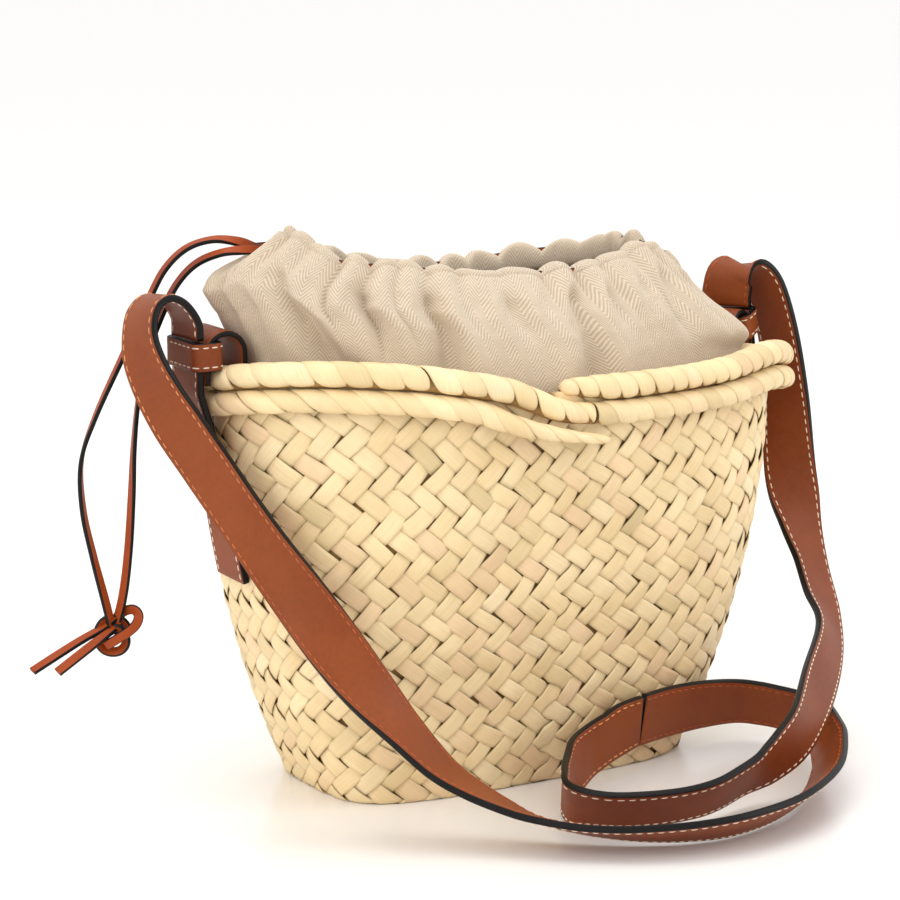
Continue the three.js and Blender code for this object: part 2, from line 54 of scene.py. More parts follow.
CAMERA_PLACE = Vector((-0.78235, -1.23517, 0.43839))
CAMERA_AIM = Vector((-0.0114, 0.0194, 0.136))
camera_data = bpy.data.cameras.new("camera")
camera_data.lens = 136.4
camera_data.sensor_width = 36
camera_data.clip_end = 50
camera = bpy.data.objects.new("camera", camera_data)
bpy.context.scene.collection.objects.link(camera)
camera.location = CAMERA_PLACE
camera.rotation_mode = "QUATERNION"
camera.rotation_quaternion = (CAMERA_AIM - CAMERA_PLACE).to_track_quat("-Z", "Y")
bpy.context.scene.camera = camera
bpy.context.scene.view_settings.view_transform = "Standard"

# ---------------------------------------------------------------- node helpers


def new_material(name):
    material = bpy.data.materials.new(name)
    material.use_nodes = True
    nodes = material.node_tree.nodes
    shader = nodes["Principled BSDF"]
    return material, nodes, material.node_tree.links, shader


def add_node(nodes, kind, **values):
    node = nodes.new(kind)
    for key, value in values.items():
        if key in node.inputs:
            node.inputs[key].default_value = value
        else:
            setattr(node, key, value)
    return node


def math_node(nodes, links, operation, a, b=None, c=None):
    node = nodes.new("ShaderNodeMath")
    node.operation = operation
    for i, value in enumerate((a, b, c)):
        if value is None:
            continue
        if isinstance(value, (int, float)):
            node.inputs[i].default_value = value
        else:
            links.new(value, node.inputs[i])
    return node.outputs[0]


def mix_colour(nodes, links, factor, a, b, blend="MIX"):
    node = nodes.new("ShaderNodeMix")
    node.data_type = "RGBA"
    node.blend_type = blend
    for socket, value in ((node.inputs[0], factor), (node.inputs[6], a), (node.inputs[7], b)):
        if isinstance(value, (int, float)):
            socket.default_value = value
        elif isinstance(value, tuple):
            socket.default_value = (*value, 1)
        else:
            links.new(value, socket)
    return node.outputs[2]


def ramp(nodes, links, factor, stops):
    node = nodes.new("ShaderNodeValToRGB")
    elements = node.color_ramp.elements
    while len(elements) < len(stops):
        elements.new(0.5)
    for element, (place, colour) in zip(elements, stops):
        element.position = place
        element.color = (*colour, 1)
    links.new(factor, node.inputs[0])
    return node.outputs[0]


def srgb(r, g, b):
    def channel(c):
        c /= 255
        return c / 12.92 if c <= 0.04045 else ((c + 0.055) / 1.055) ** 2.4

    return (channel(r), channel(g), channel(b))


# ---------------------------------------------------------------- materials


def leaf_material(name):
    material, nodes, links, shader = new_material(name)
    tone = add_node(nodes, "ShaderNodeAttribute", attribute_name="tone")
    uv = add_node(nodes, "ShaderNodeUVMap")
    stretched = add_node(nodes, "ShaderNodeMapping")
    stretched.inputs["Scale"].default_value = (0.035, 1.6, 1)
    links.new(uv.outputs[0], stretched.inputs["Vector"])
    fibres = add_node(nodes, "ShaderNodeTexNoise", Scale=1.0, Detail=4.0, Roughness=0.6)
    links.new(stretched.outputs[0], fibres.inputs["Vector"])
    place = add_node(nodes, "ShaderNodeTexCoord")
    blotch = add_node(nodes, "ShaderNodeTexNoise", Scale=42.0, Detail=3.0, Roughness=0.6)
    links.new(place.outputs["Object"], blotch.inputs["Vector"])
    streak = ramp(nodes, links, fibres.outputs[0], [(0.3, (0.93, 0.9, 0.85)), (0.62, (1.02, 1.01, 1.0))])
    cloud = ramp(nodes, links, blotch.outputs[0], [(0.3, (0.9, 0.87, 0.8)), (0.65, (1.03, 1.02, 1.0))])
    base = mix_colour(nodes, links, 1.0, tone.outputs["Color"], streak, "MULTIPLY")
    base = mix_colour(nodes, links, 1.0, base, cloud, "MULTIPLY")
    links.new(base, shader.inputs["Base Color"])
    shader.inputs["Roughness"].default_value = 0.48
    shader.inputs["Specular IOR Level"].default_value = 0.4
    shader.inputs["Subsurface Weight"].default_value = 0.0
    bump = add_node(nodes, "ShaderNodeBump", Strength=0.22, Distance=0.0004)
    links.new(fibres.outputs[0], bump.inputs["Height"])
    links.new(bump.outputs[0], shader.inputs["Normal"])
    return material


def leather_material(name, light, dark, roughness, grain=0.25, grain_scale=900.0):
    material, nodes, links, shader = new_material(name)
    place = add_node(nodes, "ShaderNodeTexCoord")
    broad = add_node(nodes, "ShaderNodeTexNoise", Scale=28.0, Detail=4.0, Roughness=0.6)
    links.new(place.outputs["Object"], broad.inputs["Vector"])
    fine = add_node(nodes, "ShaderNodeTexNoise", Scale=420.0, Detail=3.0, Roughness=0.6)
    links.new(place.outputs["Object"], fine.inputs["Vector"])
    pores = add_node(nodes, "ShaderNodeTexVoronoi", Scale=grain_scale)
    links.new(place.outputs["Object"], pores.inputs["Vector"])
    base = ramp(nodes, links, broad.outputs[0], [(0.3, dark), (0.7, light)])
    speck = ramp(nodes, links, fine.outputs[0], [(0.35, (0.92, 0.91, 0.9)), (0.6, (1.03, 1.02, 1.01))])
    base = mix_colour(nodes, links, 0.8, base, speck, "MULTIPLY")
    links.new(base, shader.inputs["Base Color"])
    rough = math_node(nodes, links, "MULTIPLY_ADD", fine.outputs[0], 0.2, roughness - 0.1)
    links.new(rough, shader.inputs["Roughness"])
    shader.inputs["Specular IOR Level"].default_value = 0.22
    height = math_node(nodes, links, "MULTIPLY_ADD", pores.outputs["Distance"], 0.6, fine.outputs[0])
    bump = add_node(nodes, "ShaderNodeBump", Strength=grain, Distance=0.0003)
    links.new(height, bump.inputs["Height"])
    links.new(bump.outputs[0], shader.inputs["Normal"])
    return material


def thread_material(name):
    material, nodes, links, shader = new_material(name)
    tone = add_node(nodes, "ShaderNodeAttribute", attribute_name="tone")
    place = add_node(nodes, "ShaderNodeTexCoord")
    twist = add_node(nodes, "ShaderNodeTexWave", Scale=900.0, Distortion=1.0)
    links.new(place.outputs["Object"], twist.inputs["Vector"])
    shade = ramp(nodes, links, twist.outputs["Fac"], [(0.0, (0.82, 0.8, 0.78)), (1.0, (1.0, 1.0, 1.0))])
    base = mix_colour(nodes, links, 1.0, tone.outputs["Color"], shade, "MULTIPLY")
    links.new(base, shader.inputs["Base Color"])
    shader.inputs["Roughness"].default_value = 0.6
    return material


def linen_material(name):
    """Herringbone: upright stripes of steep yarns that turn back at each stripe. UV is millimetres."""
    material, nodes, links, shader = new_material(name)
    uv = add_node(nodes, "ShaderNodeUVMap")
    warp = add_node(nodes, "ShaderNodeTexNoise", Scale=0.12, Detail=2.0)
    links.new(uv.outputs[0], warp.inputs["Vector"])
    split = add_node(nodes, "ShaderNodeSeparateXYZ")
    links.new(uv.outputs[0], split.inputs[0])
    wobble = math_node(nodes, links, "MULTIPLY_ADD", warp.outputs[0], 0.8, -0.4)
    across = math_node(nodes, links, "ADD", split.outputs[0], wobble)
    stripe = math_node(nodes, links, "PINGPONG", across, 4.0)
    slope = math_node(nodes, links, "MULTIPLY_ADD", stripe, 1.2, split.outputs[1])
    yarn = math_node(nodes, links, "MULTIPLY", slope, 2 * math.pi / 1.5)
    wave = math_node(nodes, links, "SINE", yarn)
    fuzz = add_node(nodes, "ShaderNodeTexNoise", Scale=2.6, Detail=5.0, Roughness=0.7)
    links.new(uv.outputs[0], fuzz.inputs["Vector"])
    slub = add_node(nodes, "ShaderNodeTexNoise", Scale=0.35, Detail=3.0, Roughness=0.6)
    links.new(uv.outputs[0], slub.inputs["Vector"])
    broken = math_node(nodes, links, "MULTIPLY_ADD", fuzz.outputs[0], 2.0, -1.0)
    level = math_node(nodes, links, "ADD", wave, broken)
    level = math_node(nodes, links, "MULTIPLY_ADD", level, 0.3, 0.5)
    yarn_tones = [(0.1, srgb(178, 158, 133)), (0.5, srgb(201, 184, 161)), (0.9, srgb(219, 205, 185))]
    base = ramp(nodes, links, level, yarn_tones)
    cloud = ramp(nodes, links, slub.outputs[0], [(0.3, (0.93, 0.92, 0.9)), (0.7, (1.03, 1.02, 1.01))])
    base = mix_colour(nodes, links, 1.0, base, cloud, "MULTIPLY")
    links.new(base, shader.inputs["Base Color"])
    shader.inputs["Roughness"].default_value = 0.92
    shader.inputs["Specular IOR Level"].default_value = 0.15
    shader.inputs["Sheen Weight"].default_value = 0.25
    shader.inputs["Sheen Roughness"].default_value = 0.5
    bump = add_node(nodes, "ShaderNodeBump", Strength=0.3, Distance=0.0004)
    links.new(level, bump.inputs["Height"])
    links.new(bump.outputs[0], shader.inputs["Normal"])
    return material


def plain_material(name, colour, roughness, speck=0.15, scale=300.0, shine=0.5):
    material, nodes, links, shader = new_material(name)
    place = add_node(nodes, "ShaderNodeTexCoord")
    noise = add_node(nodes, "ShaderNodeTexNoise", Scale=scale, Detail=3.0)
    links.new(place.outputs["Object"], noise.inputs["Vector"])
    low = tuple(c * (1 - speck) for c in colour)
    high = tuple(min(1.0, c * (1 + speck)) for c in colour)
    base = ramp(nodes, links, noise.outputs[0], [(0.35, low), (0.65, high)])
    links.new(base, shader.inputs["Base Color"])
    shader.inputs["Roughness"].default_value = roughness
    shader.inputs["Specular IOR Level"].default_value = shine
    bump = add_node(nodes, "ShaderNodeBump", Strength=0.15, Distance=0.0002)
    links.new(noise.outputs[0], bump.inputs["Height"])
    links.new(bump.outputs[0], shader.inputs["Normal"])
    return material


LEAF = leaf_material("palm_leaf")
# painted shade: a darker leaf colour for the wall's backing sheet, the rope cores and the base, seen through
# the gaps between floats and bands
SHADED_BACKING = plain_material("leaf_backing_painted_shade", srgb(150, 116, 66), 0.8, 0.3, 120.0)
LEATHER = leather_material("calf_smooth", srgb(140, 70, 30), srgb(128, 60, 24), 0.46, 0.08, 1100.0)
LEATHER_INSIDE = leather_material("calf_flesh_side", srgb(134, 66, 31), srgb(118, 54, 23), 0.5, 0.2, 700.0)
LACE_LEATHER = leather_material("lace_leather", srgb(160, 68, 20), srgb(134, 50, 11), 0.45, 0.12, 1300.0)
EDGE_PAINT = plain_material("edge_paint", srgb(14, 12, 11), 0.4, 0.3, 200.0, 0.2)
THREAD = thread_material("thread")
LINEN = linen_material("herringbone_linen")

CREAM = np.array([*srgb(240, 222, 196), 1.0])
# the tan and dark orange thread tones are the cream thread darkened by painted shade
TAN = np.array([*srgb(224, 150, 96), 1.0])
ORANGE = np.array([*srgb(178, 84, 38), 1.0])

# ---------------------------------------------------------------- mesh helpers


def unit(vectors):
    vectors = np.asarray(vectors, float)
    return vectors / np.maximum(np.linalg.norm(vectors, axis=-1, keepdims=True), 1e-12)


def smoothstep(x, a, b):
    t = np.clip((np.asarray(x, float) - a) / (b - a), 0, 1)
    return t * t * (3 - 2 * t)


def make_piece(name, points, faces, materials, uv=None, tone=None, face_material=None, smooth=True):
    """A mesh piece from points in millimetres."""
    mesh = bpy.data.meshes.new(name)
    mesh.from_pydata((np.asarray(points, float) * MM).tolist(), [], [list(map(int, f)) for f in faces])
    for material in materials:
        mesh.materials.append(material)
    if face_material is not None:
        mesh.polygons.foreach_set("material_index", np.asarray(face_material, np.int32))
    mesh.polygons.foreach_set("use_smooth", np.full(len(mesh.polygons), smooth))
    if uv is not None:
        corners = np.zeros(len(mesh.loops), np.int32)
        mesh.loops.foreach_get("vertex_index", corners)
        layer = mesh.uv_layers.new(name="UVMap")
        layer.data.foreach_set("uv", np.asarray(uv, np.float32)[corners].ravel())
    if tone is not None:
        colours = mesh.color_attributes.new(name="tone", type="FLOAT_COLOR", domain="POINT")
        colours.data.foreach_set("color", np.asarray(tone, np.float32).ravel())
    mesh.update()
    piece = bpy.data.objects.new(name, mesh)
    bpy.context.scene.collection.objects.link(piece)
    return piece


class Build:
    """Gathers grids and loose parts into one mesh."""

    def __init__(self):
        self.points, self.uv, self.tone, self.faces, self.kinds = [], [], [], [], []
        self.count = 0

    def add(self, points, faces, uv=None, tone=None, kind=0):
        points = np.asarray(points, float).reshape(-1, 3)
        n = len(points)
        self.points.append(points)
        self.uv.append(np.zeros((n, 2)) if uv is None else np.asarray(uv, float).reshape(-1, 2))
        shade = np.ones((n, 4)) if tone is None else np.broadcast_to(np.asarray(tone, float), (n, 4))
        self.tone.append(shade)
        faces = np.asarray(faces, int) + self.count
        self.faces.extend(faces.tolist())
        kinds = np.broadcast_to(np.asarray(kind, int), (len(faces),))
        self.kinds.extend(kinds.tolist())
        self.count += n

    def grid(self, points, uv=None, tone=None, kind=0, hoop_u=False, hoop_v=False, flip=False):
        """points is (nu, nv, 3)."""
        nu, nv = points.shape[:2]
        index = np.arange(nu * nv).reshape(nu, nv)
        a = index if hoop_u else index[:-1]
        b = np.roll(index, -1, 0) if hoop_u else index[1:]
        if not hoop_v:
            quads = np.stack([a[:, :-1], b[:, :-1], b[:, 1:], a[:, 1:]], -1)
        else:
            quads = np.stack([a, b, np.roll(b, -1, 1), np.roll(a, -1, 1)], -1)
        quads = quads.reshape(-1, 4)
        if flip:
            quads = quads[:, ::-1]
        tone = None if tone is None else np.broadcast_to(tone, (nu, nv, 4)).reshape(-1, 4)
        self.add(points.reshape(-1, 3), quads, None if uv is None else uv.reshape(-1, 2), tone, kind)

    def piece(self, name, materials, smooth=True):
        return make_piece(
            name,
            np.concatenate(self.points),
            self.faces,
            materials,
            np.concatenate(self.uv),
            np.concatenate(self.tone),
            self.kinds,
            smooth,
        )


def catmull(stations, steps):
    """Smooth stations between given ones."""
    s = np.asarray(stations, float)
    padded = np.concatenate([[2 * s[0] - s[1]], s, [2 * s[-1] - s[-2]]])
    out = []
    for i in range(len(s) - 1):
        p0, p1, p2, p3 = padded[i : i + 4]
        for f in np.arange(steps) / steps:
            slope = 0.5 * (p2 - p0)
            bend = p0 - 2.5 * p1 + 2 * p2 - 0.5 * p3
            twist = 0.5 * (p3 - p0) + 1.5 * (p1 - p2)
            out.append(p1 + f * (slope + f * (bend + f * twist)))
    out.append(s[-1])
    return np.array(out)


def arc_length(points):
    return np.concatenate([[0], np.cumsum(np.linalg.norm(np.diff(points[:, :3], axis=0), axis=1))])


def resample(stations, step):
    length = arc_length(stations)
    count = max(2, int(round(length[-1] / step)) + 1)
    at = np.linspace(0, length[-1], count)
    return np.stack([np.interp(at, length, stations[:, i]) for i in range(stations.shape[1])], 1)


def ribbon_frame(stations):
    """Place, across and face directions along a strip."""
    place = stations[:, :3]
    along = unit(np.gradient(place, axis=0))
    across = stations[:, 3:6]
    across = unit(across - along * np.sum(across * along, 1, keepdims=True))
    return place, along, across, np.cross(along, across)


def strap_section(width, thickness, groove=None):
    """Outline with rounded painted edges: (u, v, kind), kind 0 upper face, 1 edge, 2 lower face."""
    u, v = width / 2, thickness / 2
    r = min(0.45 * thickness, 0.9)
    inner = u - 0.45 * r
    face = [-inner]
    if groove:
        face += [-u + groove + 0.5, -u + groove + 1.3, 0, u - groove - 1.3, u - groove - 0.5]
    else:
        face += [-0.72 * u, 0, 0.72 * u]
    face += [inner]
    outline = [(x, v - (0.18 if groove and abs(abs(x) - (u - groove - 0.9)) < 0.1 else 0), 0) for x in face]
    outline[-1] = (inner, v, 1)
    near_edge, turn = u - 0.12 * r, v - 0.35 * r
    outline += [(near_edge, turn, 1), (u, v - r, 1), (u, -v + r, 1), (near_edge, -turn, 1)]
    outline += [(x, -v, 2) for x in reversed(face)]
    outline[-1] = (-inner, -v, 1)
    outline += [(-near_edge, -turn, 1), (-u, -v + r, 1), (-u, v - r, 1), (-near_edge, turn, 1)]
    return outline


def add_ribbon(build, stations, section, kinds=(0, 1, 2), cap_kind=1, shape=None):
    place, _, across, face = ribbon_frame(stations)
    uv = np.array([(u, v) for u, v, _ in section])
    offset_u = np.broadcast_to(uv[:, 0], (len(place), len(uv))).copy()
    offset_v = np.broadcast_to(uv[:, 1], (len(place), len(uv))).copy()
    if shape is not None:
        offset_u, offset_v = shape(offset_u, offset_v, arc_length(stations))
    rings = place[:, None] + across[:, None] * offset_u[..., None] + face[:, None] * offset_v[..., None]
    n, k = rings.shape[:2]
    index = np.arange(n * k).reshape(n, k)
    a, b = index[:-1], index[1:]
    quads = np.stack([a, b, np.roll(b, -1, 1), np.roll(a, -1, 1)], -1).reshape(-1, 4)
    kind = np.broadcast_to([kinds[s[2]] for s in section], (n - 1, k)).ravel()
    length = np.broadcast_to(arc_length(stations)[:, None], (n, k))
    coordinates = np.stack([length, offset_u], -1).reshape(-1, 2)
    first = build.count
    build.add(rings.reshape(-1, 3), quads, coordinates, None, kind)
    for ring, flip in ((0, False), (n - 1, True)):
        loop = (first + index[ring]).tolist()
        build.faces.append(loop if not flip else loop[::-1])
        build.kinds.append(cap_kind)


def stitch_rows(
    build, stations, offset_u, offset_v, pitch, length, thick, tone, start=1.5, end=1.5, slant=0.0
):
    """Short thread loops laid along a strip, `offset_u` across it and `offset_v` off its middle."""
    place, along, across, face = ribbon_frame(stations)
    run = arc_length(stations)
    centres = np.arange(start + length / 2, run[-1] - end, pitch)
    ring = 6
    levels = np.array([-1, -0.82, -0.4, 0, 0.4, 0.82, 1])
    girth = np.array([0.25, 0.8, 1, 1, 1, 0.8, 0.25])
    dip = np.array([-0.55, -0.2, 0, 0.05, 0, -0.2, -0.55])
    for i, s in enumerate(centres):
        at = s + levels * length / 2
        at_place, at_across, at_face = (
            np.stack([np.interp(at, run, m[:, j]) for j in range(3)], 1) for m in (place, across, face)
        )
        at_across, at_face = unit(at_across), unit(at_face)
        sign = 1 if offset_v > 0 else -1
        middle = (
            at_place
            + at_across * (offset_u + slant * levels * length / 2)[:, None]
            + at_face * (offset_v + sign * thick * dip)[:, None]
        )
        turn = np.linspace(0, 2 * np.pi, ring, endpoint=False)
        points = (
            middle[:, None]
            + at_across[:, None] * (np.cos(turn) * thick / 2)[None, :, None] * girth[:, None, None]
            + at_face[:, None] * (np.sin(turn) * thick / 2)[None, :, None] * girth[:, None, None]
        )
        shade = tone(s / run[-1]) if callable(tone) else tone
        shade = shade * (1 + 0.08 * math.sin(12.9898 * i))
        shade[3] = 1
        build.grid(points, tone=np.broadcast_to(shade, (len(levels), ring, 4)), hoop_v=True)


# ---------------------------------------------------------------- cords: shoulder strap

STRAP_WIDTH, STRAP_THICKNESS = 24.0, 3.0

# [x, y, z, across x, across y, across z]
STRAP_LEFT_ROUTE = [
    [-149.5, 1.1, 201.2, 0, 1, 0],
    [-150, 1.3, 209, 0, 1, 0],
    [-155.4, 1.6, 216.4, 0, 1, -0.05],
    [-162.8, 1.4, 218.8, -0.05, 0.98, -0.12],
    [-169.6, 0, 214.8, -0.08, 0.97, -0.2],
    [-173.4, -3, 205.8, -0.1, 0.96, -0.25],
    [-173, -6, 194.8, -0.24, 0.93, -0.28],
    [-168.3, -9.5, 181.2, -0.4, 0.88, -0.28],
    [-161.7, -14.5, 167.2, -0.52, 0.8, -0.28],
    [-153.5, -21, 151.9, -0.52, 0.8, -0.3],
    [-145.3, -30, 135.2, -0.5, 0.81, -0.31],
    [-136.8, -40.5, 117.5, -0.55, 0.76, -0.33],
    [-128, -52, 100, -0.68, 0.6, -0.36],
    [-118.7, -64, 81.5, -0.85, 0.3, -0.33],
    [-109, -75.5, 63.8, -0.93, -0.1, -0.25],
    [-98.3, -87, 47.2, -0.88, -0.44, -0.08],
    [-87, -97, 32.2, -0.82, -0.56, 0.05],
    [-77, -106, 23.5, -0.75, -0.64, 0.12],
    [-67.8, -115.5, 17.6, -0.68, -0.7, 0.2],
    [-58.5, -124.5, 13, -0.6, -0.74, 0.3],
    [-44, -138, 10, -0.5, -0.78, 0.36],
    [-27, -150.5, 9, -0.45, -0.77, 0.45],
    [-6, -160, 9, -0.2, -0.82, 0.53],
    [17, -163, 9.4, 0, -0.8, 0.6],
    [46, -156, 10, 0.2, -0.75, 0.63],
    [77, -137, 11, 0.35, -0.62, 0.7],
    [98.8, -114.3, 13.5, 0.4, -0.42, 0.82],
    [108.7, -99.3, 14.5, 0.35, -0.25, 0.9],
    [118.1, -81.4, 15.5, 0.2, -0.1, 0.97],
    [120.5, -68.8, 16, -0.2, -0.1, 0.95],
    [115.6, -59.6, 18, -0.3, -0.25, 0.9],
    [108.3, -51.4, 19.5, -0.28, -0.33, 0.9],
    [98.3, -47.5, 21, -0.25, -0.39, 0.89],
    [79.8, -47.9, 22.5, -0.15, -0.3, 0.94],
    [58.4, -51.9, 23.5, -0.13, -0.21, 0.97],
    [38.9, -57.6, 23.8, -0.12, -0.2, 0.97],
]
STRAP_RIGHT_ROUTE = [
    [37.6, -58, 23.7, -0.12, -0.2, 0.97],
    [24.8, -61.9, 22.5, -0.1, -0.08, 0.98],
    [14.6, -65.5, 20.5, -0.08, -0.1, 0.99],
    [4.5, -68.8, 18, -0.1, -0.04, 0.99],
    [-7.2, -76.4, 16, -0.12, 0.04, 0.99],
    [-19.2, -86.8, 14, -0.17, -0.28, 0.95],
    [-28.2, -100.4, 12.7, -0.31, -0.48, 0.82],
    [-30.9, -111.3, 11.8, -0.34, -0.54, 0.78],
    [-24.3, -123.6, 11.5, -0.34, -0.57, 0.75],
    [-12.4, -131.1, 11.5, -0.18, -0.62, 0.75],
    [2.4, -135.9, 12, 0, -0.65, 0.75],
    [16.6, -137.3, 13, 0, -0.6, 0.78],
    [29, -135.1, 14.5, 0, -0.55, 0.82],
    [46, -129.4, 17, 0, -0.5, 0.86],
    [60.2, -126.5, 21, -0.15, -0.25, 0.95],
    [79.3, -118.7, 28, -0.31, -0.02, 0.95],
    [107, -94.3, 37, -0.44, 0.17, 0.88],
    [138.2, -62.2, 46.5, -0.48, 0.08, 0.87],
    [153.2, -37.2, 57, -0.79, 0.04, 0.61],
    [160.1, -19.2, 72, -0.91, -0.17, 0.36],
    [160.8, -9.3, 89.5, -0.93, 0, 0.1],
    [161.4, -1.9, 106, -0.87, 0.46, -0.18],
    [163.4, 3.6, 119.5, -0.65, 0.74, -0.2],
    [165.2, 9, 145.1, -0.35, 0.92, -0.18],
    [164.8, 13.5, 167.8, -0.2, 0.96, -0.17],
    [162.2, 17, 184.7, -0.2, 0.96, -0.17],
    [157.4, 19.8, 197.8, -0.3, 0.94, -0.12],
    [150.6, 22.2, 204.6, -0.38, 0.92, -0.05],
    [144, 24, 201.6, -0.44, 0.9, 0],
    [142, 25, 192.5, -0.48, 0.87, 0],
    [142.4, 25.3, 186.9, -0.49, 0.87, 0],
]

STITCH_INSET = 2.1
STITCH_PITCH = 4.1
STITCH_LENGTH = 2.9
STITCH_THICKNESS = 0.62
STITCH_SLANT = 0.04
STRAP_STITCH = (STITCH_PITCH, STITCH_LENGTH, STITCH_THICKNESS)


def mixed(a, b, f):
    return a * (1 - f) + b * f


# painted shade: stitches on the smooth face run from tan to darker orange along the strap, standing for shade
# on the cream thread
def smooth_face_shaded_tone(f):
    return mixed(TAN, ORANGE, float(smoothstep(f, 0.05, 0.3)))


def rough_face_tone(f):
    return CREAM.copy()


def shoulder_strap(name, route, node, outer_tone, inner_tone):
    stations = resample(catmull(route, 12), 1.5)
    build = Build()
    add_ribbon(build, stations, strap_section(STRAP_WIDTH, STRAP_THICKNESS, 1.2), kinds=(1, 2, 0), cap_kind=2)
    strap = build.piece(name, [LEATHER, LEATHER_INSIDE, EDGE_PAINT])
    threads = Build()
    for side in (-1, 1):
        across = side * (STRAP_WIDTH / 2 - STITCH_INSET)
        for face, tone in ((-1, outer_tone), (1, inner_tone)):
            height = face * (STRAP_THICKNESS / 2 + 0.02)
            stitch_rows(threads, stations, across, height, *STRAP_STITCH, tone, slant=STITCH_SLANT)
    stitches = threads.piece(name + "_stitches", [THREAD])
    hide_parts(node)
    for piece in (strap, stitches):
        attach(piece, "bag")


shoulder_strap(
    "shoulder_strap_left", STRAP_LEFT_ROUTE, "strap_left_length", smooth_face_shaded_tone, rough_face_tone
)
shoulder_strap(
    "shoulder_strap_right", STRAP_RIGHT_ROUTE, "strap_right_length", smooth_face_shaded_tone, rough_face_tone
)

# ---------------------------------------------------------------- cords: drawstring laces

LACE_WIDTH, LACE_THICKNESS = 4.2, 1.8

LEFT_BACK_STRAND = [
    [-116.6, 3, 235.9, 0, 0, 1],
    [-123, 5.5, 238.6, 0.1, 0.5, 0.8],
    [-133, 9, 239.8, 0.1, 0.9, 0.3],
    [-143.5, 12.5, 236.6, 0, 1, 0.1],
    [-152, 15.5, 228.4, 0, 1, 0],
    [-159, 17, 216, 0, 1, 0],
    [-171, 17, 194, 0.1, 1, 0],
    [-184.5, 17, 169, 0.3, 0.9, 0.1],
    [-191.5, 16.5, 151, 0.5, 0.8, 0],
    [-191.7, 15.5, 131, 0.7, 0.7, 0],
    [-188, 14.5, 111, 0.8, 0.6, 0.1],
    [-183.6, 13.8, 92.5, 0.9, 0.4, 0.2],
]
LEFT_FRONT_STRAND = [
    [-116.6, -3, 235.9, 0, 0, 1],
    [-123, -1, 236, 0.1, 0.5, 0.8],
    [-132.5, 3.5, 234.8, 0.1, 0.9, 0.3],
    [-139.6, 12, 229.8, 0, 1, 0.1],
    [-146.6, 15.8, 221.4, 0, 1, 0],
    [-153.4, 15.8, 210.1, 0, 1, 0],
    [-160.9, 15.8, 193.1, 0.1, 1, 0],
    [-166, 14.5, 174.4, 0.3, 0.9, 0],
    [-169.7, 12, 155, 0.2, 1, 0],
    [-171, 12, 135, -0.1, 1, 0],
    [-173, 12, 112, -0.3, 0.9, 0],
    [-175.8, 12.4, 92.5, -0.4, 0.9, 0],
]
RIGHT_FRONT_STRAND = [
    [92.6, -3, 211.3, 0, 0, 1],
    [97, 1, 210.4, 0, 0.5, 0.8],
    [102.5, 8, 207.2, -0.4, 0.8, 0.3],
    [107, 16.5, 202.4, -0.7, 0.7, 0.1],
    [110, 26, 197, -0.8, 0.6, 0],
    [112.5, 36, 192.5, -0.8, 0.6, 0],
    [114.5, 45, 187, -0.8, 0.6, 0],
    [116, 51.5, 177, -0.9, 0.4, 0],
    [116.5, 54.5, 163, -1, 0.2, 0],
    [116, 56, 146, -1, 0.2, 0],
    [114.5, 57, 128, -1, 0.1, 0],
    [111, 57.6, 110.5, -1, 0.1, -0.2],
]
RIGHT_BACK_STRAND = [
    [92.6, 3, 211.3, 0, 0, 1],
    [96, 7, 212.2, 0, 0.5, 0.8],
    [99.5, 13.5, 211.2, -0.4, 0.8, 0.3],
    [102, 21.5, 207.2, -0.7, 0.7, 0.1],
    [103.5, 31, 201.6, -0.8, 0.6, 0],
    [104.5, 41, 196.5, -0.8, 0.6, 0],
    [105, 50, 190, -0.8, 0.6, 0],
    [104.6, 56.5, 179.5, -0.9, 0.4, 0],
    [103.6, 59.5, 165, -1, 0.2, 0],
    [102.4, 60.5, 147, -1, 0.1, 0],
    [102, 60.5, 128, -1, 0, 0.1],
    [103.6, 59.4, 110.5, -1, 0, 0.3],
]
LEFT_KNOT = np.array([-179.8, 13, 81.5])
RIGHT_KNOT = np.array([107.2, 58.8, 99.5])
LACE_SECTION = strap_section(LACE_WIDTH, LACE_THICKNESS)


def lace_piece(name, stations, body):
    build = Build()
    add_ribbon(build, stations, LACE_SECTION, kinds=(0, 1, 0), cap_kind=2)
    piece = build.piece(name, [LACE_LEATHER, EDGE_PAINT, LEATHER_INSIDE])
    if body:
        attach(piece, body)
    return piece


# The knot's turns about its centre, as if seen from the front: x to the right, y up, depth away.
RING_TURNS = [
    [5.6, -5.2, 2.6], [4.8, -1.8, 2.4], [2.5, 0.8, 2.0], [-0.6, 1.6, 1.4], [-3.8, 0.8, 0.8],
    [-6.0, -1.8, 0.2], [-6.8, -5.2, -0.4], [-6.0, -8.8, -1.0], [-3.8, -11.2, -1.4], [-0.6, -12.0, -1.8],
    [2.6, -11.2, -2.2], [4.8, -8.8, -2.6], [5.2, -5.4, -3.0], [3.4, -2.2, -3.0], [0.2, -1.0, -2.4],
]
LOBE_TURNS = [
    [-3.0, -8.6, -3.6], [-0.4, -6.8, -5.2], [2.8, -4.6, -6.2], [6.8, -2.0, -6.0], [9.8, 0.8, -4.2],
    [10.4, 3.8, -1.2], [8.0, 5.4, 1.8], [4.2, 4.4, 3.2], [0.8, 1.8, 3.4],
]
INTO_KNOT = np.array([-0.4, 0.0, -4.5])  # where a strand ends inside the knot
KNOT_TURNS = {"ring": (RING_TURNS, 0.4), "lobe": (LOBE_TURNS, 0.0)}


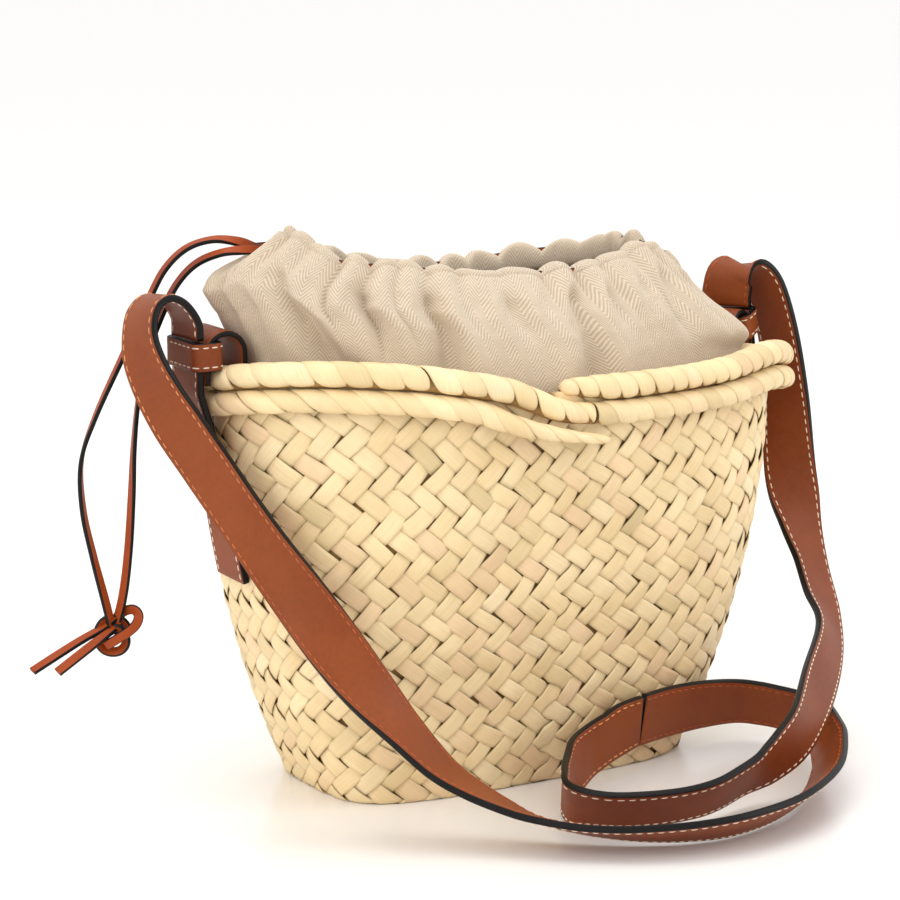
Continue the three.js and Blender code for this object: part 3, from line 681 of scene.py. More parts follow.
def drawcord(side, centre, mirror, strands, tails):
    body = f"{side}_drawcord"
    for label, (turns, on_edge) in KNOT_TURNS.items():
        local = np.array(turns, float)
        view_x = np.array([0.8448, -0.5351, 0.0]) * mirror
        view_y = np.array([0.0, 0.0, 1.0])
        depth = np.array([0.5351, 0.8448, 0.0])
        points = centre + local[:, :1] * view_x + local[:, 1:2] * view_y + local[:, 2:3] * depth
        middle = points.mean(0)
        route = catmull(points, 8)
        along = unit(np.gradient(route, axis=0))
        outward = unit(route - middle)
        across = unit(on_edge * unit(np.cross(along, outward)) + (1 - on_edge) * unit(np.cross(along, depth)))
        stations = resample(np.concatenate([route, across], 1), 0.6)
        lace_piece(f"{side}_knot_{label}", stations, body)
    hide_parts(f"{side}_lace_knot")
    for label, route in tails.items():
        stations = resample(catmull(route, 8), 1.0)
        stations[:, :3] += centre
        tail = lace_piece(f"{side}_{label}_lace_tail", stations, body)
        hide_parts(f"{side}_lace_{label}_tail")
    for label, route in strands.items():
        into_knot = [*(centre + INTO_KNOT), *route[-1][3:]]
        stations = resample(catmull([*route, into_knot], 10), 1.2)
        strand = lace_piece(f"{side}_{label}_lace", stations, None)
        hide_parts(f"{side}_lace_{label}_strand")
        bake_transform(strand)


LEFT_TAILS = {
    "long": [
        [1.0, 0.6, 2.0, 0.2, 0.9, 0.3],
        [-4.0, 1.6, -1.6, 0.2, 0.9, 0.3],
        [-14.0, 3.4, -6.4, 0.3, 0.8, 0.4],
        [-25.0, 3.6, -11.4, 0.5, 0.6, 0.5],
        [-36.0, 3.6, -16.5, 0.6, 0.5, 0.5],
    ],
    "short": [
        [2.0, -1.6, 0.0, 0.2, 0.9, 0.3],
        [-3.0, -1.8, -3.0, 0.2, 0.9, 0.3],
        [-11.0, -2.0, -7.4, 0.3, 0.6, 0.6],
        [-19.0, -1.8, -12.2, 0.4, 0.5, 0.7],
        [-27.0, -1.6, -17.0, 0.4, 0.5, 0.7],
    ],
}
RIGHT_TAILS = {
    "long": [
        [1.0, 0, -4.0, -1, 0.1, 0],
        [3.0, 0, -13.0, -1, 0.2, 0],
        [5.0, -0.6, -26.0, -0.9, 0.3, 0],
        [6.0, -1, -38.0, -0.9, 0.3, 0],
    ],
    "short": [
        [-1.0, 0, -4.0, -1, 0.1, 0],
        [-3.4, 0, -12.0, -1, 0.1, 0],
        [-5.4, 0, -21.0, -1, 0, 0],
        [-7.0, 0, -30.0, -1, -0.1, 0],
    ],
}
drawcord("left", LEFT_KNOT, 1, {"front": LEFT_FRONT_STRAND, "back": LEFT_BACK_STRAND}, LEFT_TAILS)
drawcord("right", RIGHT_KNOT, -1, {"front": RIGHT_FRONT_STRAND, "back": RIGHT_BACK_STRAND}, RIGHT_TAILS)
# ---------------------------------------------------------------- basket shape

HEIGHT = 185.0
BASE_HALF = (87.0, 45.4)
RIM_HALF = (138.0, 66.0)
BASE_SQUARENESS, RIM_SQUARENESS = 4.0, 1.93
FLARE = 0.77
BASE_SHIFT = -6.0
WALL_TOP = 163.8
RIM_LIFT = np.array([-14, -14, -11, -7, -3, 0, 1, 2, 2, 3, 7, 8.5, 5.5, -3, -5, -5, -3, -8], float)


def rim_lift(angle):
    count = len(RIM_LIFT)
    place = np.mod(np.asarray(angle, float) / 360, 1) * count
    i = np.floor(place).astype(int)
    f = place - i
    p0, p1, p2, p3 = (RIM_LIFT[(i + k) % count] for k in (-1, 0, 1, 2))
    slope = 0.5 * (p2 - p0)
    bend = p0 - 2.5 * p1 + 2 * p2 - 0.5 * p3
    twist = 0.5 * (p3 - p0) + 1.5 * (p1 - p2)
    return p1 + f * (slope + f * (bend + f * twist))


def superellipse(half_x, half_y, squareness, angle):
    c, s = np.cos(np.radians(angle)), np.sin(np.radians(angle))
    power = 2 / squareness
    return half_x * np.sign(c) * np.abs(c) ** power, half_y * np.sign(s) * np.abs(s) ** power


def wall_point(level, angle, inset=0.0):
    k = level * WALL_TOP / HEIGHT
    spread = k + FLARE * k * (1 - k)
    half_x = BASE_HALF[0] + (RIM_HALF[0] - BASE_HALF[0]) * spread - inset
    half_y = BASE_HALF[1] + (RIM_HALF[1] - BASE_HALF[1]) * spread - inset
    squareness = BASE_SQUARENESS + (RIM_SQUARENESS - BASE_SQUARENESS) * k
    x, y = superellipse(half_x, half_y, squareness, angle)
    return np.stack([x + BASE_SHIFT * (1 - k), y, level * (WALL_TOP + rim_lift(angle))], -1)


# Angle for each arc length from the middle of the front, level by level.
LEVELS = np.linspace(-0.06, 1.12, 60)
ARC_REACH = 400.0
ARC_STEPS = 801


def arc_table():
    rows = []
    arcs = np.linspace(-ARC_REACH, ARC_REACH, ARC_STEPS)
    for level in LEVELS:
        angles = np.linspace(270 - 250, 270 + 250, 2001)
        points = wall_point(np.full_like(angles, max(level, 0.0)), angles)
        run = arc_length(points)
        run -= np.interp(270, angles, run)
        rows.append(np.interp(arcs, run, angles))
    return arcs, np.array(rows)


ARCS, ANGLE_AT = arc_table()
HALF_GIRTH = []
for level in LEVELS:
    loop = wall_point(np.full(721, max(level, 0.0)), np.linspace(90, 450, 721))
    HALF_GIRTH.append(arc_length(loop)[-1] / 2)
HALF_GIRTH = np.array(HALF_GIRTH)


def angle_of(arc, level):
    row = np.clip((level - LEVELS[0]) / (LEVELS[1] - LEVELS[0]), 0, len(LEVELS) - 1.001)
    column = np.clip((arc - ARCS[0]) / (ARCS[1] - ARCS[0]), 0, len(ARCS) - 1.001)
    r, c = row.astype(int), column.astype(int)
    fr, fc = row - r, column - c
    low = ANGLE_AT[r, c] * (1 - fc) + ANGLE_AT[r, c + 1] * fc
    high = ANGLE_AT[r + 1, c] * (1 - fc) + ANGLE_AT[r + 1, c + 1] * fc
    return low * (1 - fr) + high * fr


def sheet_point(arc, level, out):
    """Point of the plaited sheet, `arc` along the row from the front's middle, `out` mm proud of the wall."""
    angle = angle_of(arc, level)
    here = wall_point(level, angle)
    du = wall_point(level, angle + 0.5) - wall_point(level, angle - 0.5)
    dv = wall_point(level + 0.01, angle) - wall_point(level - 0.01, angle)
    normal = unit(np.cross(du, dv))
    return here + normal * out[..., None]


# ---------------------------------------------------------------- plaited wall

CELL_U = 5.85
CELL_V = 4.5
CLIMB = math.radians(8.1)
FLOAT_WIDTH = 7.85
FLOAT_HALF = 6.95
EXTRA_TURN = 0.065
TONES = np.array(
    [srgb(240, 218, 173), srgb(238, 214, 168), srgb(242, 221, 178), srgb(238, 211, 170), srgb(234, 206, 166),
     srgb(231, 209, 163), srgb(220, 199, 154), srgb(243, 224, 184)]
)
TONE_ODDS = np.array([0.27, 0.24, 0.2, 0.08, 0.05, 0.06, 0.03, 0.07])


SAME_TONE = 0.62  # share of a strand's floats that keep the strand's own tone
LEVEL_LIMITS = (-0.055, 1.1)
STRIP_SHADE_TINT = np.array([1.0, 0.9, 0.72])  # how each channel gives where painted shade darkens a strip at its edges and tucked ends


def plaited_wall():
    build = Build()
    ends = np.array([-1.45, -1.22, -1.0, -0.75, -0.4, 0, 0.4, 0.75, 1.0, 1.22, 1.45])
    sides = np.array([-1.0, -0.955, -0.6, 0, 0.6, 0.955, 1.0])
    climb, rise = math.cos(CLIMB), math.sin(CLIMB)
    rows = int((WALL_TOP + 2 * ARC_REACH * rise) / CELL_V / 2)
    reach = int(ARC_REACH / CELL_U)
    strand_tone = {}
    for lean in (1, -1):
        bias = math.atan2(lean * CELL_V, CELL_U) + CLIMB + lean * EXTRA_TURN
        for row in range(-rows // 2, rows):
            if (row % 2 == 0) != (lean == 1):
                continue
            off_row = (row + 0.5) * 2 * CELL_V
            offset = 0.5 * CELL_U if lean == 1 else 1.5 * CELL_U
            for m in range(-reach, reach):
                on_row = 2 * CELL_U * m + offset
                u_middle = on_row * climb - off_row * rise
                v_middle = on_row * rise + off_row * climb
                level = v_middle / WALL_TOP
                half = np.interp(level, LEVELS, HALF_GIRTH)
                if not -0.05 < level < 1.1 or abs(u_middle) > half + 3.0:
                    continue
                strand = (lean, int(round((on_row - lean * off_row * CELL_U / CELL_V) / CELL_U)))
                if strand not in strand_tone:
                    strand_tone[strand] = TONES[rng.choice(len(TONES), p=TONE_ODDS)]
                tone = strand_tone[strand]
                if rng.random() >= SAME_TONE:
                    tone = TONES[rng.choice(len(TONES), p=TONE_ODDS)]
                tone = tone * (1 + rng.normal(0, 0.022))
                width = FLOAT_WIDTH * (1 + rng.normal(0, 0.045)) / 2
                turn = bias + rng.normal(0, 0.05)
                nudge = rng.normal(0, 0.3, 2)
                lift = 0.15 + abs(rng.normal(0, 0.16))
                tilt = rng.normal(0.12, 0.16)
                curl = rng.normal(0.24, 0.12)
                amplitude = 0.95 + rng.normal(0, 0.12)
                along, across = np.meshgrid(ends, sides, indexing="ij")
                cover = np.clip(np.abs(along) - 1.0, 0, None)
                height = amplitude * np.cos(np.pi * np.clip(np.abs(along), 0, 1.0) / 2) - 1.55 * cover
                height = height + lift + curl * (1 - across**2) + tilt * across
                height = np.where(np.abs(across) > 0.99, height - 0.42, height)
                narrow = 1 - 0.1 * np.clip(np.abs(along) - 0.6, 0, 1)
                wide = across * width * narrow
                far = along * FLOAT_HALF
                u = u_middle + nudge[0] + far * math.cos(turn) - wide * math.sin(turn)
                v = v_middle + nudge[1] + far * math.sin(turn) + wide * math.cos(turn)
                level_at = v / WALL_TOP
                points = sheet_point(u, np.clip(level_at, *LEVEL_LIMITS), height)
                points[..., 2] = np.maximum(points[..., 2], 0.35)
                # painted shade: each float darkens at its side edges, in the crevices, and at its ends where
                # they dive under neighbours
                edge = np.where(np.abs(across) > 0.99, 0.36, np.where(np.abs(across) > 0.9, 0.95, 1.0))
                edge = edge * np.where(np.abs(along) > 1.1, 0.5, np.where(np.abs(along) > 0.97, 0.86, 1.0))
                shade = np.ones((*edge.shape, 4))
                shade[..., :3] = tone * (edge[..., None] ** (1 / STRIP_SHADE_TINT))
                uv = np.stack([far + 37 * m + 11 * row, wide + 17 * row + 5 * m], -1)
                build.grid(points, uv, shade)
    # dark backing sheet behind the floats, its darker colour painted shade in the gaps between them, with the
    # wall's thickness inside it
    angles = np.linspace(0, 360, 181)[:-1]
    levels = np.linspace(0.0, 1.03, 30)
    level_grid, angle_grid = np.meshgrid(levels, angles, indexing="ij")
    outside = wall_point(level_grid, angle_grid, 1.0)
    inside = wall_point(level_grid, angle_grid, 4.0)
    outside[0, :, 2] = inside[0, :, 2] = 0.3
    shell = np.concatenate([outside, inside[::-1]])
    build.grid(shell, kind=1, hoop_u=True, hoop_v=True, flip=True)
    return build.piece("plaited_wall", [LEAF, SHADED_BACKING])


wall = plaited_wall()
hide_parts("basket_wall")
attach(wall, "bag")

# ---------------------------------------------------------------- rim ropes

ROPE = {"upper": 5.4, "lower": 4.6, "upper_inset": 3.0, "lower_inset": 1.5, "drop": 10.2}
ROPE_HALF = (143.0, 71.0)
ROPE_SQUARENESS = 2.2
ROPE_SHIFT = 2.5
KINK = {"start": 266, "full": 274, "dive": 254, "under": 270, "flatten": 251, "end": 273}


def upper_stations():
    stations = [[KINK["start"], 6.5, 4.4, 3.0], [(KINK["start"] + KINK["full"]) / 2, 5, 5, 4.4]]
    for angle in np.arange(KINK["full"], KINK["dive"] + 360.1, 5):
        stations.append([angle, ROPE["upper_inset"], ROPE["upper"], ROPE["upper"]])
    for part in (0.25, 0.5, 0.75, 1):
        eased = part * part * (3 - 2 * part)
        stations.append(
            [
                KINK["dive"] + (KINK["under"] - KINK["dive"]) * part + 360,
                ROPE["upper_inset"] + (ROPE["lower_inset"] - ROPE["upper_inset"]) * eased,
                ROPE["upper"] + ROPE["drop"] * eased,
                ROPE["upper"] + (ROPE["lower"] - ROPE["upper"]) * eased,
            ]
        )
    return np.array(stations, float)


def lower_stations():
    below = ROPE["upper"] + ROPE["drop"]
    stations = []
    for angle in np.linspace(KINK["under"] + 0.4, KINK["flatten"] + 360, 69):
        stations.append([angle, ROPE["lower_inset"], below, ROPE["lower"]])
    for part, inset in ((0.1, -0.6), (0.25, -3.2), (0.5, -3.6), (0.75, -2.6), (1, -1.4)):
        angle = KINK["flatten"] + (KINK["end"] - KINK["flatten"]) * part + 360
        stations.append([angle, inset, below + 11 * part, ROPE["lower"] + (1.2 - ROPE["lower"]) * part])
    return np.array(stations, float)


def rope_centres(stations):
    """Centre line and radius, with the directions out of the bag and up, at fine steps."""
    fine = catmull(stations, 6)
    angle, inset, below, radius = fine.T
    x, y = superellipse(ROPE_HALF[0] - inset, ROPE_HALF[1] - inset, ROPE_SQUARENESS, angle)
    centre = np.stack([x + ROPE_SHIFT, y, HEIGHT + rim_lift(angle) - below], 1)
    along = unit(np.gradient(centre, axis=0))
    side = unit(np.cross(along, [0.0, 0.0, 1.0]))
    up = np.cross(side, along)
    return centre, side, up, radius


TIP_LENGTH = 3.0  # how far a rope rounds off at its closed end


def wrapped_rope(name, node, stations, closed, pitches, slants, turn_from, turn_to, tip, tuck):
    """Leaf bands wrapped aslant round a core, which rounds off at its closed end.

    Turns are degrees round the rope, 0 out of the bag and 90 up. Pitches and slants go from start to end.
    """
    centre, side, up, radius = rope_centres(stations)
    run = arc_length(centre)

    def at(s, turn, out):
        s = np.clip(s, 0, run[-1])
        c, o, n = (np.stack([np.interp(s, run, m[:, j]) for j in range(3)], -1) for m in (centre, side, up))
        from_tip = s if closed == "start" else run[-1] - s
        r = (np.interp(s, run, radius) + out) * np.sqrt(np.clip(from_tip / TIP_LENGTH, 0.0, 1.0))
        return c + unit(o) * (np.cos(turn) * r)[..., None] + unit(n) * (np.sin(turn) * r)[..., None]

    build = Build()
    ring = np.linspace(0, 2 * np.pi, 17)[:-1]
    core_run = np.arange(0, run[-1] + 1, 3.0)
    s_grid, t_grid = np.meshgrid(np.clip(core_run, 0, run[-1]), ring, indexing="ij")
    # the core takes the dark backing colour, as painted shade between the bands
    build.grid(at(s_grid, t_grid, -0.9), kind=1, hoop_v=True)
    sides = np.array([-1.0, -0.9, -0.45, 0, 0.45, 0.9, 1.0])
    around = np.linspace(0, 1, 19)
    place = 1.0
    while place < run[-1]:
        pitch = float(np.interp(place, (0.25 * run[-1], 0.6 * run[-1]), pitches))
        slant = float(np.interp(place, (0.25 * run[-1], 0.6 * run[-1]), slants))
        width = pitch * (1.16 + rng.normal(0, 0.05))
        tone = TONES[rng.choice(len(TONES), p=TONE_ODDS)] * (1 + rng.normal(0, 0.025))
        f, across = np.meshgrid(around, sides, indexing="ij")
        start = turn_from + rng.normal(0, 3)
        stop = turn_to + rng.normal(0, 4)
        turn = np.radians(start + (stop - start) * f)
        tipped = np.sin(np.pi * np.clip(1 - f, 0, tip) / tip / 2) ** 0.7
        half = width / 2 * (0.35 + 0.65 * tipped)
        drift = slant * (np.degrees(turn) - 90) / -180
        s = place + drift + across * half
        out = 0.25 + 0.42 * (1 - across**2) - 0.35 * across * 0.5
        out = np.where(np.abs(across) > 0.99, out - 0.5, out)
        out = out - tuck * np.clip((f - (1 - tip * 0.6)) / (tip * 0.6), 0, 1) ** 2 + rng.normal(0, 0.06)
        bulge = 0.45 * np.sin(np.pi * f)
        points = at(s, turn, out + bulge)
        # painted shade: each band darkens at its side edges and towards its tucked end
        edge = np.where(np.abs(across) > 0.99, 0.6, 1.0) * (1 - 0.28 * np.clip((f - 0.82) / 0.18, 0, 1))
        shade = np.ones((*edge.shape, 4))
        shade[..., :3] = tone * (edge[..., None] ** (1 / STRIP_SHADE_TINT))
        uv = np.stack([f * 40 + 53 * place, across * half + 7 * place], -1)
        build.grid(points, uv, shade, flip=turn_to < turn_from)
        place += pitch * (1 + rng.normal(0, 0.06))
    piece = build.piece(name, [LEAF, SHADED_BACKING])
    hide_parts(node)
    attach(piece, "bag")
    return piece


UPPER_WRAP = {
    "pitches": (8.6, 11.8), "slants": (5.0, 9.0), "turn_from": 235, "turn_to": -62, "tip": 0.34, "tuck": 1.9
}
LOWER_WRAP = {
    "pitches": (10.0, 11.8), "slants": (8.0, 15.0), "turn_from": 140, "turn_to": -88, "tip": 0.42, "tuck": 1.5
}
wrapped_rope("rim_upper_wrap", "rim_rope_upper_turn", upper_stations(), "start", **UPPER_WRAP)
wrapped_rope("rim_lower_wrap", "rim_rope_lower_turn", lower_stations(), "end", **LOWER_WRAP)

# ---------------------------------------------------------------- base

base_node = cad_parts["basket_base"]
# the base takes the dark backing colour, as painted shade under the bag
base_node.data.materials.clear()
base_node.data.materials.append(SHADED_BACKING)

# ---------------------------------------------------------------- strap fittings

LEFT_END = {"angle": 179.5, "lean": 0.0}
RIGHT_END = {"angle": 17.0, "lean": 16.0}
LEG_OUT = 12.0
LEG_BOTTOM = 97.0
KEEPER_BOTTOM = 6.2
KEEPER_HEIGHT = 12.0
KEEPER_BAND = 1.9
KEEPER_CLEAR = 1.5
KEEPER_CORNER = 3.2
KEEPER_STITCH = (3.9, 2.8, 0.62)
TAB_OUTER, TAB_INNER, TAB_FOOT = 8.6, -8.5, 12.5
TAB_THICKNESS = 2.2
LEG_CLEAR = 1.3


def end_frame(end):
    half_x, half_y = ROPE_HALF[0] - ROPE["upper_inset"], ROPE_HALF[1] - ROPE["upper_inset"]
    x, y = superellipse(half_x, half_y, ROPE_SQUARENESS, end["angle"])
    bend = ROPE_SQUARENESS - 1
    out_x = np.sign(x) * abs(x / half_x) ** bend / half_x
    out_y = np.sign(y) * abs(y / half_y) ** bend / half_y
    out = unit([out_x, out_y, 0])
    across = np.cross([0, 0, 1.0], out) * np.sign(out[0])
    centre = np.array([x + ROPE_SHIFT, y, HEIGHT + rim_lift(end["angle"]) - ROPE["upper"]])
    return centre, out, across


def leaned(end, out, height):
    centre, outward, _ = end_frame(end)
    turn = math.radians(end["lean"]) * float(smoothstep(height, -12, 6))
    reach = out * math.cos(turn) - height * math.sin(turn)
    rise = height * math.cos(turn) + out * math.sin(turn)
    return centre + outward * reach + np.array([0, 0, rise])


def end_stations(end, places):
    _, _, across = end_frame(end)
    return np.array([[*p, *across] for p in places])


def leg(end_name, end):
    clearance = STRAP_THICKNESS / 2 + LEG_CLEAR
    places = []
    for rise in (0, 14, 28, 38):
        z = LEG_BOTTOM + rise
        places.append(wall_point(z / (WALL_TOP + float(rim_lift(end["angle"]))), end["angle"], -clearance))
    top = KEEPER_BOTTOM + KEEPER_HEIGHT - 0.3
    over_rope = ((LEG_OUT - 2, -10), (LEG_OUT, -3), (LEG_OUT, 3), (LEG_OUT, 9), (LEG_OUT, top))
    places += [leaned(end, out, h) for out, h in over_rope]
    stations = resample(catmull(end_stations(end, places), 8), 1.5)
    build = Build()
    add_ribbon(build, stations, strap_section(STRAP_WIDTH, STRAP_THICKNESS, 1.2), kinds=(1, 2, 0), cap_kind=2)
    piece = build.piece(f"sewn_leg_{end_name}", [LEATHER, LEATHER_INSIDE, EDGE_PAINT])
    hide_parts(f"strap_leg_{end_name}")
    threads = Build()
    for side in (-1, 1):
        across = side * (STRAP_WIDTH / 2 - STITCH_INSET)
        for face in (-1, 1):
            height = face * (STRAP_THICKNESS / 2 + 0.02)
            stitch_rows(threads, stations, across, height, *STRAP_STITCH, CREAM)
    stitches = threads.piece(f"sewn_leg_{end_name}_stitches", [THREAD])
    for p in (piece, stitches):
        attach(p, "bag")


def tab(end_name, end):
    middle, radius = (TAB_OUTER + TAB_INNER) / 2, (TAB_OUTER - TAB_INNER) / 2
    route = [(TAB_OUTER, 0), (TAB_OUTER, TAB_FOOT / 2)]
    for i in range(9):
        turn = i / 8 * math.pi
        route.append((middle + radius * math.cos(turn), TAB_FOOT + radius * math.sin(turn)))
    route += [(TAB_INNER, TAB_FOOT / 2), (TAB_INNER, 0), (TAB_INNER, -5)]
    stations = resample(catmull(end_stations(end, [leaned(end, o, h) for o, h in route]), 5), 1.2)
    build = Build()
    add_ribbon(build, stations, strap_section(STRAP_WIDTH, TAB_THICKNESS), kinds=(0, 2, 1), cap_kind=2)
    piece = build.piece(f"over_rim_tab_{end_name}", [LEATHER, LEATHER_INSIDE, EDGE_PAINT])
    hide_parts(f"rim_tab_{end_name}")
    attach(piece, "bag")


def keeper(end_name, end):
    outer = LEG_OUT + STRAP_THICKNESS / 2 + KEEPER_CLEAR
    inner = TAB_OUTER - 1.1 - 3.6 - 1.0
    half = STRAP_WIDTH / 2 + KEEPER_CLEAR
    _, _, across = end_frame(end)
    outline = []
    for cx, cy, a0 in (
        (outer - KEEPER_CORNER, half - KEEPER_CORNER, 0),
        (inner + KEEPER_CORNER, half - KEEPER_CORNER, 90),
        (inner + KEEPER_CORNER, -half + KEEPER_CORNER, 180),
        (outer - KEEPER_CORNER, -half + KEEPER_CORNER, 270),
    ):
        for step in range(5):
            a = math.radians(a0 + 90 * step / 4)
            outline.append((cx + KEEPER_CORNER * math.cos(a), cy + KEEPER_CORNER * math.sin(a)))
    outline.append(outline[0])
    middle_height = KEEPER_BOTTOM + KEEPER_HEIGHT / 2
    up = unit(leaned(end, 0, middle_height + 1) - leaned(end, 0, middle_height))
    places = np.array([leaned(end, o, middle_height) + across * s for o, s in outline])
    stations = np.concatenate([places, np.broadcast_to(up, places.shape)], 1)
    stations = resample(stations, 1.0)
    build = Build()
    add_ribbon(build, stations, strap_section(KEEPER_HEIGHT, KEEPER_BAND, 0.9), kinds=(0, 2, 1), cap_kind=2)
    piece = build.piece(f"keeper_band_{end_name}", [LEATHER, LEATHER_INSIDE, EDGE_PAINT])
    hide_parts(f"keeper_{end_name}")
    threads = Build()
    centre = places.mean(0)
    face = ribbon_frame(stations)[3]
    sign = 1 if np.mean(np.sum(face * (stations[:, :3] - centre), 1)) > 0 else -1
    for edge in (-1, 1):
        across = edge * (KEEPER_HEIGHT / 2 - KEEPER_BAND)
        stitch_rows(threads, stations, across, sign * 1.0, *KEEPER_STITCH, CREAM)
    stitches = threads.piece(f"keeper_band_{end_name}_stitches", [THREAD])
    for p in (piece, stitches):
        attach(p, "bag")


for end_name, end in (("left", LEFT_END), ("right", RIGHT_END)):
    leg(end_name, end)
    tab(end_name, end)
    keeper(end_name, end)

# ---------------------------------------------------------------- linen neck

HEM = {"x": -12.0, "half_x": 96.0, "half_y": 26.0, "top": 226.5, "tilt": -10.0, "saddle": 3.0, "depth": 11.0}
NECK_LEVELS = np.array(
    [
        [0, -129, 129, 58],
        [0.13, -121.5, 117, 56],
        [0.3, -121, 112.5, 54],
        [0.45, -121, 109, 52],
        [0.6, -122, 104, 49],
        [0.74, -127, 100, 44],
        [0.86, -122, 94, 37],
        [1, -108, 84, 26],
    ],
    float,
)
NECK_BOTTOM = WALL_TOP + 0.3


def hem_top(angle):
    turn = np.radians(angle)
    return HEM["top"] + HEM["tilt"] * np.cos(turn) + HEM["saddle"] * np.cos(2 * turn)


def wrap_degrees(a):
    return (a + 180) % 360 - 180


def near(angle, where, width):
    return np.exp(-((wrap_degrees(angle - where) / width) ** 2))


def hem_rise(angle):
    """The hem's top as it lies: it stands up at both ends and sags between."""
    front = 6.0 * near(angle, 197, 13) - 3.0 * near(angle, 221, 14) - 2.0 * near(angle, 258, 16)
    right = 7.5 * near(angle, 322, 20) + 8.0 * near(angle, 27, 22)
    back = 3.0 * near(angle, 62, 18) - 4.0 * near(angle, 105, 28)
    return hem_top(angle) + front + right + back


# Long folds that run down from the mouth: angle at the hem, half width in degrees, depth, how far down
# they run, and how far they have drifted round by then.
FOLDS = [
    [200, 7, 6.0, 0.95, 22], [214, 5, 4.2, 0.4, 4], [228, 5.5, 5.0, 0.55, 3], [239, 4, 3.0, 0.35, 0],
    [248, 5, 6.2, 1.0, -6], [259, 4, 3.0, 0.35, 0], [269, 4.5, 4.4, 0.5, -3], [279, 4, 3.0, 0.35, -3],
    [289, 5, 6.4, 1.0, -11], [300, 4.5, 4.6, 0.5, -10], [311, 4, 3.6, 0.4, -8], [323, 5, 4.8, 0.6, -14],
    [337, 5, 3.6, 0.45, -14], [350, 5, 3.0, 0.4, -8], [12, 5, 3.4, 0.5, 3], [30, 5, 3.8, 0.7, 5],
    [49, 5, 3.4, 0.4, 4], [68, 5, 4.4, 0.8, 6], [88, 5, 3.6, 0.5, 0], [107, 5, 4.6, 0.9, -6],
    [127, 5, 3.6, 0.5, -4], [146, 5, 4.4, 0.8, -8], [165, 6, 3.6, 0.5, 4], [181, 5, 3.2, 0.6, 4],
]
GATHER_COUNT = 34


def small_gathers(angle):
    """Even little gathers all round the mouth, rounded outwards and sharp inwards."""
    turn = np.radians(angle)
    warped = turn + 0.045 * np.sin(3 * turn + 0.4) + 0.03 * np.sin(7 * turn + 2.0)
    size = 1 + 0.35 * np.sin(5 * turn + 1.0) + 0.25 * np.sin(11 * turn + 3.0)
    return size * (2 * np.abs(np.cos(warped * GATHER_COUNT / 2)) ** 0.7 - 1.3)


def gather_height(angle, level):
    """How far the cloth stands proud of its plain shape, in mm."""
    turn = np.radians(angle)
    foot = 0.5 + 0.22 * np.sin(4 * turn + 0.8) + 0.1 * np.sin(9 * turn)
    total = 1.9 * small_gathers(angle) * smoothstep(level - foot, 0.0, 0.45)
    for where, half, deep, down, drift in FOLDS:
        reach = smoothstep(level, 1.0 - down, 1.35 - down) * (1 - 0.45 * smoothstep(level, 0.85, 1.0))
        spread = half * (1 + 0.7 * (1 - level))
        d = wrap_degrees(angle - where - drift * (1 - level)) / spread
        ridge = np.exp(-3.0 * (d - 1.0) ** 2) + 0.7 * np.exp(-3.0 * (d + 1.1) ** 2)
        total = total + deep * reach * (0.55 * ridge - np.exp(-4.5 * d * d))
    return total


def hem_outer(angle):
    return 3.0 + 2.0 * np.clip(small_gathers(angle) + 0.25, -0.2, None)


def hem_crest(angle):
    """How the hem's top edge rises and dips with the little gathers."""
    return 1.5 * small_gathers(angle) + 0.7 * np.sin(np.radians(angle) * 23)


def neck_bulge(angle, level):
    """The cloth slumps outwards at the left end, and lies over the rope at the right front."""
    left = 10.5 * near(angle, 170, 32) * smoothstep(level, 0.22, 0.66) * (1 - smoothstep(level, 0.8, 1.0))
    right = 10.0 * smoothstep(level, 0.0, 0.12) + 7.0 * smoothstep(level, 0.28, 0.42)
    return left + right * near(angle, 338, 19) * (1 - smoothstep(level, 0.42, 0.82))


def neck_surface(angle, level, out):
    """A point of the neck, level 0 at the rim and 1 at the hem."""
    left, right, depth = (np.interp(level, NECK_LEVELS[:, 0], NECK_LEVELS[:, i]) for i in (1, 2, 3))
    out = out + neck_bulge(angle, level)
    half = (right - left) / 2 + out
    x, y = superellipse(half, depth + out, RIM_SQUARENESS, angle)
    bottom = NECK_BOTTOM + rim_lift(angle)
    top = hem_rise(angle) + hem_crest(angle) - 2.4
    return np.stack([x + (left + right) / 2, y, bottom + (top - bottom) * level], -1)


def linen_neck():
    angles = np.linspace(0, 360, 901)[:-1]
    levels = np.linspace(0, 1, 56)
    level_grid, angle_grid = np.meshgrid(levels, angles, indexing="ij")
    proud = gather_height(angle_grid, level_grid)
    over_hem = smoothstep(level_grid, 0.78, 0.96)
    outer = (1.0 + proud) * (1 - over_hem) + (0.9 * hem_outer(angle_grid) + 0.4) * over_hem
    outside = neck_surface(angle_grid, level_grid, outer)
    inside = neck_surface(angle_grid, level_grid, outer - 0.6)
    girth = 560.0
    uv = np.stack([angle_grid / 360 * girth, level_grid * 58.0], -1)
    build = Build()
    grid = np.concatenate([outside, inside[::-1]])
    both_uv = np.concatenate([uv, uv[::-1]])
    build.grid(grid, both_uv, hoop_u=True, hoop_v=True)
    piece = build.piece("linen_neck", [LINEN])
    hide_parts("liner_neck")
    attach(piece, "bag")
    return piece


